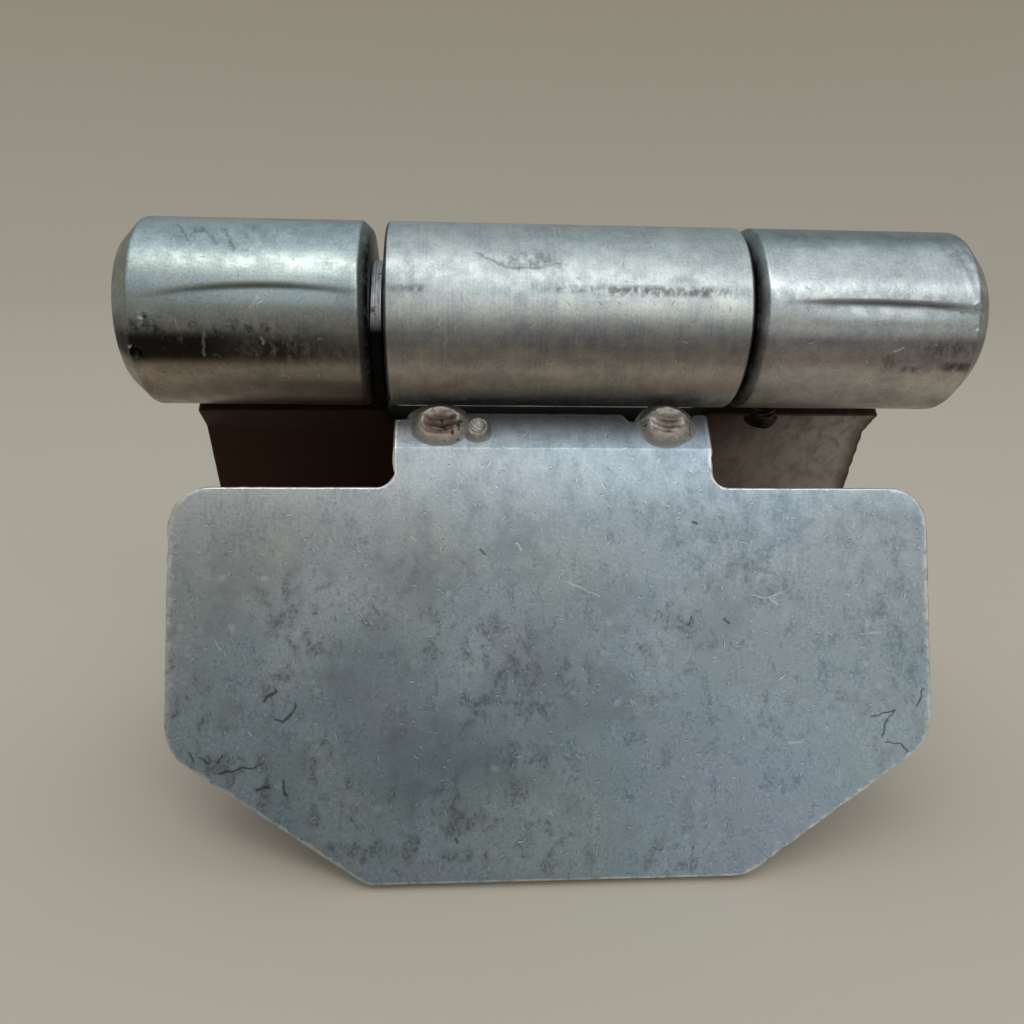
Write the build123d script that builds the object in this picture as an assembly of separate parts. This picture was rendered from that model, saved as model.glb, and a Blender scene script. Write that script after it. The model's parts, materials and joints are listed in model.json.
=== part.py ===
from build123d import *
import math
import os

# Weld-on butterfly hinge, in millimetres. X runs along the hinge pin, Z is up.
# The hinge stands as an inverted V on the lower edges of its two leaves.
# The front leaf reaches towards -Y and the rear leaf towards +Y.

# Pin, and the loose washer that hangs on it in the left gap
pin_radius = 5.0
pin_end_chamfer = 0.8
washer_ring_width = 2.3
washer_thickness = 1.6
washer_inset = 1.0
washer_clearance = 0.02

# Knuckles
barrel_radius = 12.5
middle_knuckle_length = 47.9
outer_knuckle_length = 32.2
left_gap = 2.0
right_gap = 0.6
running_clearance = 0.05
press_clearance = 0.02
closed_end_wall = 7.0
pin_end_space = 0.5
closed_end_chamfer = 2.6
open_end_chamfer = 1.2
middle_end_chamfer = 0.6

# Leaves. A drop is a distance down a leaf from the pin's axis.
opening_angle = 42.0
plate_thickness = 3.0
plate_inner_offset = 1.0
tab_slot = 1.3
tab_length = 5.3
neck_length = 5.25
leaf_height = 52.55
leaf_width = 103.6
neck_width = 43.8
notch_clearance = 2.1
rear_notch_depth = 2.6
rear_notch_radius = 1.5
foot_width = 50.8
corner_cut_height = 17.7
bend_angle = 23.0
bend_radius = 1.0
shoulder_radius = 5.0
cut_upper_radius = 7.0
cut_lower_radius = 3.0
neck_corner_radius = 2.2
edge_break = 0.35

# Where the leaves were welded on, along the pin
front_leaf_shift = -0.3
neck_shift = -0.65
rear_leaf_shift = -0.4

# Weld nuggets. Each lies across the slot between a tab's end and its knuckle.
nugget_proud = 2.0
nugget_depth = 2.2
nugget_below_tab_end = 1.9
nugget_from_neck_side = 6.3
front_left_nugget_radius = 3.7
front_right_nugget_radius = 3.6
side_bead_radius = 2.0
side_bead_proud = 1.1
side_bead_step = 5.2
rear_nugget_radius = 3.7
inner_nugget_from_notch = 9.0
inner_nugget_radius = 2.4
inner_nugget_proud = 1.6
inner_nugget_depth = 0.5

# Places along the pin
half_angle = opening_angle / 2
fork_width = middle_knuckle_length + left_gap + right_gap
fork_left = -fork_width / 2
fork_right = fork_width / 2
middle_left = fork_left + left_gap
notch_width = neck_width + 2 * notch_clearance
tab_middle = (notch_width + leaf_width) / 4
blank_reach = leaf_width

# Drops and offsets from the pin's axis
tab_end_drop = barrel_radius + tab_slot
bend_drop = tab_end_drop + tab_length
shoulder_drop = bend_drop + neck_length
rear_notch_drop = tab_end_drop + rear_notch_depth
leaf_bottom = shoulder_drop + leaf_height
nugget_drop = tab_end_drop + nugget_below_tab_end
plate_outer_offset = plate_inner_offset + plate_thickness
washer_lowest = barrel_radius - washer_inset
washer_outer_radius = (washer_lowest + washer_ring_width + pin_radius + washer_clearance) / 2
washer_bore_radius = washer_outer_radius - washer_ring_width
washer_sag = washer_lowest - washer_outer_radius
outer_bore_radius = pin_radius + press_clearance
outer_bore_depth = outer_knuckle_length - closed_end_wall

# Height of the pin's axis above the surface that the leaves' lower edges stand on
lean = math.radians(half_angle)
axis_height = leaf_bottom * math.cos(lean) - (plate_inner_offset + edge_break) * math.sin(lean)


def on_axis(shape):
    """Lift a shape made about the X axis to the pin's height."""
    return Pos(0, 0, axis_height) * shape


def rod(radius, left, right):
    """Solid round bar about the X axis."""
    return Pos((left + right) / 2, 0, 0) * Rot(0, 90, 0) * Cylinder(radius, right - left)


def make_pin():
    left = fork_left - outer_bore_depth + pin_end_space
    right = fork_right + outer_bore_depth - pin_end_space
    pin = rod(pin_radius, left, right)
    return chamfer(pin.edges().filter_by(GeomType.CIRCLE), pin_end_chamfer)


def make_washer():
    """Washer against the left knuckle. It is wider than the pin, so it hangs low."""
    right = fork_left + washer_thickness
    ring = rod(washer_outer_radius, fork_left, right) - rod(washer_bore_radius, fork_left, right)
    return Pos(0, 0, -washer_sag) * ring


def make_middle_knuckle():
    right = middle_left + middle_knuckle_length
    sleeve = rod(barrel_radius, middle_left, right)
    sleeve = chamfer(sleeve.edges().filter_by(GeomType.CIRCLE), middle_end_chamfer)
    return sleeve - rod(pin_radius + running_clearance, middle_left, right)


def make_outer_knuckle(inner_face, side):
    """Closed knuckle whose open face is at inner_face. side is -1 on the left, 1 on the right."""
    closed_face = inner_face + side * outer_knuckle_length
    bore_bottom = inner_face + side * outer_bore_depth
    body = rod(barrel_radius, min(inner_face, closed_face), max(inner_face, closed_face))
    body = chamfer(body.edges().filter_by(GeomType.CIRCLE).sort_by(Axis.X)[::side][0], open_end_chamfer)
    body = chamfer(body.edges().filter_by(GeomType.CIRCLE).sort_by(Axis.X)[::side][-1], closed_end_chamfer)
    return body - rod(outer_bore_radius, min(inner_face, bore_bottom), max(inner_face, bore_bottom))


def outer_face_offset(drop):
    """How far the tab's outer face stands from the pin's axis, at a distance down the leaf."""
    return plate_outer_offset - (bend_drop - drop) * math.tan(math.radians(bend_angle))


def plate_section():
    """Section of a leaf across the pin: outwards is +Y here, and the leaf hangs down from the axis."""
    tilt = math.radians(bend_angle)
    tab_outer = (outer_face_offset(tab_end_drop), -tab_end_drop)
    tab_inner = (
        tab_outer[0] - plate_thickness * math.cos(tilt),
        tab_outer[1] - plate_thickness * math.sin(tilt),
    )
    inner_bend_drop = bend_drop + plate_thickness * math.tan(tilt / 2)
    corners = [
        tab_outer,
        (plate_outer_offset, -bend_drop),
        (plate_outer_offset, -leaf_bottom),
        (plate_inner_offset, -leaf_bottom),
        (plate_inner_offset, -inner_bend_drop),
        tab_inner,
    ]
    section = make_face(Polyline(*corners, close=True))
    bends = section.vertices().filter_by(lambda v: -inner_bend_drop - 0.01 < v.Y < -bend_drop + 0.01)
    return fillet(bends, bend_radius)


def leaf_outline(shift):
    """Outline of a leaf below its shoulders, with the two lower corners cut."""
    cut_top = leaf_bottom - corner_cut_height
    corners = [
        (leaf_width / 2, -shoulder_drop),
        (leaf_width / 2, -cut_top),
        (foot_width / 2, -leaf_bottom),
        (-foot_width / 2, -leaf_bottom),
        (-leaf_width / 2, -cut_top),
        (-leaf_width / 2, -shoulder_drop),
    ]
    outline = make_face(Polyline(*corners, close=True))
    outline = fillet(outline.vertices().group_by(Axis.Y)[1], cut_upper_radius)
    outline = fillet(outline.vertices().group_by(Axis.Y)[0], cut_lower_radius)
    return Pos(shift, 0) * outline


def corners_at(drop, outline, centre, width):
    """Corners of an outline at a drop below the pin's axis, half a width to each side of centre."""
    return outline.vertices().filter_by(
        lambda v: math.isclose(abs(v.X - centre), width / 2, abs_tol=0.01)
        and math.isclose(v.Y, -drop, abs_tol=0.01)
    )


def tab_block(centre, width):
    """Rectangle from the pin's axis down into the plate."""
    height = shoulder_drop + shoulder_radius
    return Pos(centre, -height / 2) * Rectangle(width, height)


def front_outline():
    outline = leaf_outline(front_leaf_shift)
    outline = fillet(corners_at(shoulder_drop, outline, front_leaf_shift, leaf_width), shoulder_radius)
    outline = outline + tab_block(neck_shift, neck_width)
    return fillet(corners_at(shoulder_drop, outline, neck_shift, neck_width), neck_corner_radius)


def rear_outline():
    outline = leaf_outline(rear_leaf_shift) + tab_block(rear_leaf_shift, leaf_width)
    outline = outline - Pos(0, -rear_notch_drop / 2) * Rectangle(notch_width, rear_notch_drop)
    return fillet(corners_at(rear_notch_drop, outline, 0, notch_width), rear_notch_radius)


def bent_sheet():
    return extrude(Plane.YZ * plate_section(), blank_reach, both=True)


def make_plate(outline):
    """Cut a bent plate to an outline and break its edges."""
    plate = bent_sheet() & extrude(Plane.XZ * outline, barrel_radius, both=True)
    return chamfer(plate.edges(), edge_break)


def nugget(place, offset, drop, radius, proud, depth):
    """Domed drop of weld metal on a tab's face, at offset outwards and drop below the pin's axis.

    Its rim has the given radius on the face, it stands proud of the face, and it reaches depth behind it.
    """
    dome_radius = (radius**2 + proud**2) / (2 * proud)
    slab_height = proud + depth
    dome = Pos(0, proud - dome_radius, 0) * Sphere(dome_radius)
    slab = Pos(0, proud - slab_height / 2, 0) * Box(2 * radius, slab_height, 2 * radius)
    return Pos(place, offset, -drop) * Rot(bend_angle, 0, 0) * (dome & slab)


def seat_nugget(metal):
    """Leave only what lies outside the knuckle and the plate."""
    return metal - rod(barrel_radius, -blank_reach, blank_reach) - bent_sheet()


def outer_nugget(place, radius, proud=nugget_proud):
    return nugget(place, outer_face_offset(nugget_drop), nugget_drop, radius, proud, nugget_depth)


def make_front_left_weld():
    place = neck_shift - neck_width / 2 + nugget_from_neck_side
    metal = outer_nugget(place, front_left_nugget_radius)
    return seat_nugget(metal + outer_nugget(place + side_bead_step, side_bead_radius, side_bead_proud))


def make_front_right_weld():
    place = neck_shift + neck_width / 2 - nugget_from_neck_side
    return seat_nugget(outer_nugget(place, front_right_nugget_radius))


def make_rear_weld(side):
    return seat_nugget(outer_nugget(rear_leaf_shift + side * tab_middle, rear_nugget_radius))


def make_inner_weld():
    """Nugget on the inner side of the right tab, which is the outer kind turned round."""
    tilt = math.radians(bend_angle)
    corner_offset = outer_face_offset(tab_end_drop) - plate_thickness * math.cos(tilt)
    corner_drop = tab_end_drop + plate_thickness * math.sin(tilt)
    metal = nugget(0, 0, 0, inner_nugget_radius, inner_nugget_proud, inner_nugget_depth)
    turned = Rot(0, 0, 180) * Rot(-2 * bend_angle, 0, 0) * metal
    return seat_nugget(Pos(notch_width / 2 + inner_nugget_from_notch, corner_offset, -corner_drop) * turned)


def as_rear(shape):
    """Swing a shape from hanging straight down to the rear leaf's place."""
    return on_axis(Rot(half_angle, 0, 0) * shape)


def as_front(shape):
    """Swing a shape to the rear leaf's place and mirror it to the front."""
    return on_axis(mirror(Rot(half_angle, 0, 0) * shape, about=Plane.XZ))


def build():
    return {
        "front_leaf": as_front(make_plate(front_outline())),
        "front_weld_left": as_front(make_front_left_weld()),
        "front_weld_right": as_front(make_front_right_weld()),
        "middle_knuckle": on_axis(make_middle_knuckle()),
        "rear_leaf": as_rear(make_plate(rear_outline())),
        "rear_weld_left": as_rear(make_rear_weld(-1)),
        "rear_weld_right": as_rear(make_rear_weld(1)),
        "rear_weld_inner": as_rear(make_inner_weld()),
        "left_knuckle": on_axis(make_outer_knuckle(fork_left, -1)),
        "right_knuckle": on_axis(make_outer_knuckle(fork_right, 1)),
        "hinge_pin": on_axis(make_pin()),
        "left_washer": on_axis(make_washer()),
    }


os.makedirs("parts", exist_ok=True)
for node, shape in build().items():
    export_step(shape, f"parts/{node}.step")
    print(node, round(shape.volume, 2), len(shape.solids()))
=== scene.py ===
import bpy
import bmesh
import json
import math
from mathutils import Matrix, Vector, noise


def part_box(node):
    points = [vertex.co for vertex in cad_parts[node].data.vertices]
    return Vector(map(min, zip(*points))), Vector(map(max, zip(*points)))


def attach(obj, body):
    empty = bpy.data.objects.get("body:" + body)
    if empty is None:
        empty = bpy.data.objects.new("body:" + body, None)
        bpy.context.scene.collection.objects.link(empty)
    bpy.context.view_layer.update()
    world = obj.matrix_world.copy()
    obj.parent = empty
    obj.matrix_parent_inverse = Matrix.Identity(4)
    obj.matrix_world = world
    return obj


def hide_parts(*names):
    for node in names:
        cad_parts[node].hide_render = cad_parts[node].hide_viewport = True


# A weld-on butterfly hinge of zinc-plated steel. X runs along the pin, Z is up, and the front leaf
# hangs towards -Y. Shapes are drawn in millimetres about the pin's axis and placed in metres.
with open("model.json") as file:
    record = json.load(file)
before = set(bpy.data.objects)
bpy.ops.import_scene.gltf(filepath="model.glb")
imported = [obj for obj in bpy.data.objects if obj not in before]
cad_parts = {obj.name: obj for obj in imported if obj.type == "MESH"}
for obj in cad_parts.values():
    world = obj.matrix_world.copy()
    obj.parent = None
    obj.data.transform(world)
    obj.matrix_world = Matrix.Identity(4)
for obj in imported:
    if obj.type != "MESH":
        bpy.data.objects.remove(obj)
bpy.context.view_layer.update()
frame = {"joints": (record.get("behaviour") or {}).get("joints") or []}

mm = 0.001
axisHeight = frame["joints"][0]["pos_m"][2] / mm


def boxInMm(node):
    low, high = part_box(node)
    return low / mm, high / mm


middleLow, middleHigh = boxInMm("middle_knuckle")
barrelRadius = (middleHigh.z - middleLow.z) / 2
onPin = Matrix.Scale(mm, 4) @ Matrix.Translation((0, 0, axisHeight))
print("frame loaded, pin at", round(axisHeight, 2), "mm")


def roundCorners(corners, closed=True, arcStep=9.0):
    # corners are (across, along, radius), and each round one becomes an arc
    points = []
    for index, (across, along, radius) in enumerate(corners):
        here = Vector((across, along))
        if radius <= 0 or (not closed and index in (0, len(corners) - 1)):
            points.append(here)
            continue
        toBefore = (Vector(corners[index - 1][:2]) - here).normalized()
        toAfter = (Vector(corners[(index + 1) % len(corners)][:2]) - here).normalized()
        half = toBefore.angle(toAfter) / 2
        centre = here + (toBefore + toAfter).normalized() * (radius / math.sin(half))
        start = here + toBefore * (radius / math.tan(half)) - centre
        finish = here + toAfter * (radius / math.tan(half)) - centre
        turn = math.atan2(start.x * finish.y - start.y * finish.x, start.dot(finish))
        steps = max(2, round(abs(math.degrees(turn)) / arcStep))
        for step in range(steps + 1):
            part = turn * step / steps
            across = start.x * math.cos(part) - start.y * math.sin(part)
            along = start.x * math.sin(part) + start.y * math.cos(part)
            points.append(centre + Vector((across, along)))
    return points


def cutAt(bm, direction, places):
    # adds edge loops across the whole mesh
    for place in places:
        whole = bm.verts[:] + bm.edges[:] + bm.faces[:]
        bmesh.ops.bisect_plane(bm, geom=whole, dist=1e-5, plane_co=Vector(direction) * place, plane_no=direction)


def evenly(low, high, step):
    count = max(1, round((high - low) / step))
    return [low + (high - low) * (index + 0.5) / count for index in range(count)]


def easeBetween(low, high, value):
    # 0 at low, 1 at high, smooth between
    part = min(1.0, max(0.0, (value - low) / (high - low)))
    return part * part * (3 - 2 * part)


def markFaces(bm, label, chosen, fade=0.0):
    # 1 on the chosen faces, fading on the next ring of vertices
    layer = bm.verts.layers.float.new(label)
    marked = {vert for face in bm.faces if chosen(face) for vert in face.verts}
    for vert in marked:
        vert[layer] = 1.0
        for edge in vert.link_edges:
            beside = edge.other_vert(vert)
            if beside not in marked:
                beside[layer] = fade
    return marked


def addPiece(bm, name, body, nodes, place, flat=()):
    bmesh.ops.transform(bm, matrix=place, verts=bm.verts[:])
    bmesh.ops.recalc_face_normals(bm, faces=bm.faces[:])
    for face in bm.faces:
        face.smooth = True
    for face in flat:
        face.smooth = False
    mesh = bpy.data.meshes.new(name)
    bm.to_mesh(mesh)
    bm.free()
    piece = bpy.data.objects.new(name, mesh)
    bpy.context.scene.collection.objects.link(piece)
    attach(piece, body)
    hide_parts(*nodes)
    print("made", name, len(mesh.polygons), "faces")
    return piece


# The two leaves: cut plate, its top bent back towards the pin

leaf = {
    "lean": 21.0,
    "innerOffset": 1.0,
    "thickness": 3.0,
    "tabEnd": 13.8,
    "bend": 19.1,
    "bendAngle": 23.0,
    "bendBlend": 0.12,
    "shoulder": 24.35,
    "cutTop": 59.2,
    "bottom": 76.9,
    "halfWidth": 51.8,
    "halfFoot": 25.4,
    "edgeRound": 0.34,
    "gridStep": 1.15,
    "wave": 0.03,
    "waveLength": 24.0,
    "rimWander": 0.09,
}
frontLeaf = {
    "shift": -0.3,
    "neckShift": -0.65,
    "halfNeck": 21.9,
    "footRounds": (3.2, 6.0),
    "nicks": [(-52.1, 27.9, 0.3, 0.5), (-52.1, 31.2, 0.35, 0.4), (-52.1, 32.9, 0.3, 0.4), (-52.1, 35.3, 0.25, 0.5),
              (-22.5, 20.6, -0.1, 0.9), (-22.5, 22.6, 0.3, 0.45), (21.2, 20.4, 0.25, 0.4), (51.5, 29.5, 0.25, 0.4),
              (51.5, 33.6, 0.2, 0.5), (51.5, 38.4, 0.25, 0.4), (51.5, 44.0, 0.2, 0.5), (51.5, 49.2, 0.25, 0.4),
              (-44.0, 64.4, 0.25, 0.7), (38.0, 68.3, 0.3, 0.8), (44.6, 64.0, 0.3, 0.5), (30.2, 73.6, 0.3, 0.6)],
}
rearLeaf = {
    "shift": -0.4,
    "halfNotch": 24.0,
    "notchBottom": 16.4,
    "footRounds": (3.0, 3.0),
    "nicks": [(51.4, 15.6, 0.35, 0.5), (51.4, 17.4, 0.3, 0.6), (51.4, 20.0, 0.4, 0.5), (51.4, 22.4, 0.35, 0.7),
              (51.4, 24.8, 0.3, 0.5), (51.4, 27.0, 0.35, 0.6), (-52.2, 44.0, 0.3, 0.8), (46.0, 62.8, 0.3, 0.7)],
}
leafOuter = leaf["innerOffset"] + leaf["thickness"]


def leafPlace(side):
    lean = Matrix.Rotation(math.radians(leaf["lean"]), 4, "X")
    return onPin @ Matrix.Scale(side, 4, (0, 1, 0)) @ lean


def footCorners(look):
    wide, foot, shift = leaf["halfWidth"], leaf["halfFoot"], look["shift"]
    leftRound, rightRound = look["footRounds"]
    return [
        (shift + wide, leaf["cutTop"], 7.0),
        (shift + foot, leaf["bottom"], rightRound),
        (shift - foot, leaf["bottom"], leftRound),
        (shift - wide, leaf["cutTop"], 7.0),
    ]


def frontCorners():
    # the tab's end has melted bites beside the nuggets
    left = frontLeaf["neckShift"] - frontLeaf["halfNeck"]
    right = frontLeaf["neckShift"] + frontLeaf["halfNeck"]
    shift, wide, shoulder, end = frontLeaf["shift"], leaf["halfWidth"], leaf["shoulder"], leaf["tabEnd"]
    return [
        (left, end + 1.05, 0.4),
        (left + 2.6, end + 0.85, 0.8),
        (left + 4.2, end, 0.5),
        (left + 31.6, end, 0.4),
        (left + 32.6, end + 1.1, 0.5),
        (left + 37.6, end + 1.1, 0.6),
        (left + 38.4, end + 0.9, 0.5),
        (left + 40.4, end + 1.2, 0.6),
        (left + 41.8, end, 0.5),
        (right, end, 0.8),
        (right, shoulder, 2.2),
        (shift + wide, shoulder, 5.4),
        *footCorners(frontLeaf),
        (shift - wide, shoulder, 5.6),
        (left, shoulder, 2.2),
    ]


def rearCorners():
    notch, shift, wide = rearLeaf["halfNotch"], rearLeaf["shift"], leaf["halfWidth"]
    return [
        (shift - wide, leaf["tabEnd"], 0.7),
        (-notch, leaf["tabEnd"], 0.7),
        (-notch, rearLeaf["notchBottom"], 1.5),
        (notch, rearLeaf["notchBottom"], 1.5),
        (notch, leaf["tabEnd"], 0.7),
        (shift + wide, leaf["tabEnd"], 0.7),
        *footCorners(rearLeaf),
    ]


def bendTab(bm):
    # leans the tab back above the bend and squares its end to its own face
    slope = math.tan(math.radians(leaf["bendAngle"]))
    innerBend = leaf["bend"] + leaf["thickness"] * math.tan(math.radians(leaf["bendAngle"] / 2))
    endSlip = leaf["thickness"] * math.sin(math.radians(leaf["bendAngle"]))
    blend = leaf["bendBlend"]

    def rise(height):
        if height < -blend:
            return 0.0
        return height if height > blend else (height + blend) ** 2 / (4 * blend)

    for vert in bm.verts:
        drop = -vert.co.z
        inward = (leafOuter - vert.co.y) / leaf["thickness"]
        bendHere = leaf["bend"] + (innerBend - leaf["bend"]) * inward
        upTab = max(0.0, (leaf["bend"] - drop) / (leaf["bend"] - leaf["tabEnd"]))
        vert.co.y -= rise(bendHere - drop) * slope
        vert.co.z -= upTab * inward * endSlip


def wearPlate(bm, rim, nicks, seed):
    # a slightly uneven plate with a nicked rim, never outside the plain one
    bm.normal_update()
    middle = (leaf["innerOffset"] + leafOuter) / 2
    for vert in bm.verts:
        spot = Vector((vert.co.x / leaf["waveLength"], seed, vert.co.z / leaf["waveLength"]))
        depth = leaf["wave"] * (0.5 + 0.5 * noise.noise(spot))
        vert.co.y -= math.copysign(depth, vert.co.y - middle)
    for vert in rim:
        inPlane = Vector((vert.normal.x, 0, vert.normal.z))
        wander = leaf["rimWander"] * (0.5 + 0.5 * noise.noise(Vector((vert.co.x * 0.8, seed, vert.co.z * 0.8))))
        for across, drop, depth, reach in nicks:
            apart = math.hypot(vert.co.x - across, vert.co.z + drop)
            wander += depth * math.exp(-((apart / reach) ** 2))
        vert.co -= inPlane * wander


def makeLeaf(name, corners, look, side, body, node):
    bm = bmesh.new()
    outline = [bm.verts.new((across, leaf["innerOffset"], -drop)) for across, drop in roundCorners(corners)]
    bm.faces.new(outline)
    grown = bmesh.ops.extrude_face_region(bm, geom=bm.faces[:])["geom"]
    grown = [item for item in grown if isinstance(item, bmesh.types.BMVert)]
    bmesh.ops.translate(bm, verts=grown, vec=(0, leaf["thickness"], 0))
    bmesh.ops.recalc_face_normals(bm, faces=bm.faces[:])
    sharp = [edge for edge in bm.edges if edge.calc_face_angle(0) > math.radians(60)]
    bmesh.ops.bevel(bm, geom=sharp, offset=leaf["edgeRound"], offset_type="OFFSET", affect="EDGES",
                    segments=3, profile=0.5, material=-1, clamp_overlap=False)
    wide = leaf["halfWidth"] - 1.2
    cutAt(bm, (1, 0, 0), evenly(look["shift"] - wide, look["shift"] + wide, leaf["gridStep"]))
    cutAt(bm, (0, 0, -1), evenly(leaf["tabEnd"], leaf["bottom"], leaf["gridStep"]))
    cutAt(bm, (0, 0, -1), evenly(leaf["bend"] - 0.6, leaf["bend"] + 1.2, 0.15))
    markFaces(bm, "inner", lambda face: face.calc_center_median().y < leafOuter - 0.35)
    rim = markFaces(bm, "roundedEdge", lambda face: abs(face.normal.y) < 0.98, 0.25)
    flat = [face for face in bm.faces if abs(face.normal.y) > 0.995]
    wearPlate(bm, rim, look["nicks"], side)
    bendTab(bm)
    return addPiece(bm, name, body, [node], leafPlace(side), flat)


frontPlate = makeLeaf("frontPlate", frontCorners(), frontLeaf, -1, "front", "front_leaf")
rearPlate = makeLeaf("rearPlate", rearCorners(), rearLeaf, 1, "rear", "rear_leaf")

# Knuckles, washer and pin: turned about the pin's axis

knuckle = {
    "turnSteps": 360,
    "outerBore": 5.02,
    "middleBore": 5.05,
    "boreDepth": 25.2,
    "closedCut": 2.6,
    "closedRound": 0.9,
    "openCut": 1.2,
    "openRound": 0.5,
    "middleRound": 0.6,
    "boreRound": 0.3,
    "cutStep": 0.9,
    "dentWave": 0.02,
}


def turn(corners, closed, steps):
    # spins a section, given as (along the pin, radius, rounding), a full turn
    bm = bmesh.new()
    line = [bm.verts.new((along, 0, radius)) for along, radius in roundCorners(corners, closed, 15.0)]
    edges = [bm.edges.new(pair) for pair in zip(line, line[1:])]
    if closed:
        edges.append(bm.edges.new((line[-1], line[0])))
    bmesh.ops.spin(bm, geom=line + edges, cent=(0, 0, 0), axis=(1, 0, 0), angle=math.tau, steps=steps, use_merge=True)
    bmesh.ops.remove_doubles(bm, verts=bm.verts[:], dist=1e-4)
    bmesh.ops.recalc_face_normals(bm, faces=bm.faces[:])
    return bm


def roundAngle(point):
    # degrees round the pin, from -Y upwards
    return math.degrees(math.atan2(point.z, -point.y))


def pushIn(vert, depth):
    radius = math.hypot(vert.co.y, vert.co.z)
    vert.co.y *= 1 - depth / radius
    vert.co.z *= 1 - depth / radius


def onSkin(bm):
    return [vert for vert in bm.verts if math.hypot(vert.co.y, vert.co.z) > barrelRadius * 0.9]


def creaseLine(crease, along):
    return crease["angle"] - crease["sag"] * along ** 2 + crease["tilt"] * along


def pressCrease(bm, crease):
    # a long shallow groove, steep above and gentle below, with a painted shade along its bottom
    layer = bm.verts.layers.float.new("crease")
    for vert in onSkin(bm):
        along = (vert.co.x - crease["middle"]) / crease["halfLength"]
        if abs(along) >= 1:
            continue
        above = math.radians(roundAngle(vert.co) - creaseLine(crease, along)) * barrelRadius
        fall = 1 - above / crease["steepWidth"] if above > 0 else 1 + above / crease["gentleWidth"]
        if fall > 0:
            pushIn(vert, crease["depth"] * (1 - along ** 2) * fall * fall * (3 - 2 * fall))
            vert[layer] = (1 - along ** 2) * max(0.0, 1 - abs(above) / crease["darkWidth"])


def pressPit(bm, along, angle, radius, depth):
    # a small round blister with a raised rim
    for vert in onSkin(bm):
        across = math.radians(roundAngle(vert.co) - angle) * barrelRadius
        apart = math.hypot(vert.co.x - along, across) / radius
        if apart < 2.2:
            inside = max(0.0, 1 - apart ** 2)
            pushIn(vert, depth * inside ** 0.6 - 0.28 * depth * math.exp(-(((apart - 1.15) / 0.3) ** 2)))


def pressRidges(bm, ridges):
    # slanting tool marks on a closed end's shoulder
    for vert in onSkin(bm):
        away = (vert.co.x - ridges["along"]) / ridges["reach"]
        up = (roundAngle(vert.co) - ridges["angle"]) / ridges["spread"]
        strength = math.exp(-(away ** 2) - up ** 2)
        slant = vert.co.x + (roundAngle(vert.co) - ridges["angle"]) * ridges["slant"]
        if strength > 0.05:
            pushIn(vert, ridges["depth"] * strength * (0.5 + 0.5 * math.sin(slant * math.tau / ridges["pitch"])))


def wobbleSkin(bm, seed):
    for vert in onSkin(bm):
        pushIn(vert, knuckle["dentWave"] * (noise.noise(vert.co / 7 + Vector((seed, 0, 0))) + 1))


def markEnds(bm, openEnds):
    # marks the faces that look into a gap, for grease and painted shade there, and the rounded edges, where the
    # knuckles get a painted shade
    markFaces(bm, "greaseAndShade", lambda face: abs(face.normal.x) > 0.5
              and min(abs(face.calc_center_median().x - end) for end in openEnds) < 1.1)
    markFaces(bm, "roundedEdge", lambda face: 0.15 < abs(face.normal.x) < 0.97
              and math.hypot(*face.calc_center_median().yz) > barrelRadius * 0.7, 0.2)


def makeMiddleKnuckle():
    bore = knuckle["middleBore"]
    bm = turn([
        (middleLow.x, bore, knuckle["boreRound"]),
        (middleLow.x, barrelRadius, knuckle["middleRound"]),
        (middleHigh.x, barrelRadius, knuckle["middleRound"]),
        (middleHigh.x, bore, knuckle["boreRound"]),
    ], True, knuckle["turnSteps"])
    cutAt(bm, (1, 0, 0), evenly(middleLow.x, middleHigh.x, knuckle["cutStep"]))
    markEnds(bm, (middleLow.x, middleHigh.x))
    wobbleSkin(bm, 3)
    return addPiece(bm, "middleSleeve", "front", ["middle_knuckle"], onPin)


outerKnuckles = {
    "leftCap": {
        "node": "left_knuckle",
        "side": -1,
        "crease": {"middle": -39.5, "halfLength": 15.5, "angle": 21.0, "sag": 7.5, "tilt": 2.0,
                   "steepWidth": 0.6, "gentleWidth": 2.8, "depth": 0.17, "darkWidth": 0.7},
        "pits": [(-52.8, 3.6, 0.55, 0.35), (-54.2, -18.6, 0.75, 0.7), (-30.0, 35.0, 0.4, 0.1)],
    },
    "rightCap": {
        "node": "right_knuckle",
        "side": 1,
        "crease": {"middle": 43.0, "halfLength": 14.6, "angle": 16.2, "sag": 2.6, "tilt": -1.4,
                   "steepWidth": 0.6, "gentleWidth": 2.6, "depth": 0.2, "darkWidth": 0.8},
        "ridges": {"along": 53.5, "reach": 2.8, "angle": 48.0, "spread": 22.0, "slant": 0.05, "pitch": 1.6,
                   "depth": 0.07},
        "pits": [(54.6, 14.0, 0.7, 0.16), (54.4, 3.0, 0.4, 0.14)],
    },
}


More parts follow.
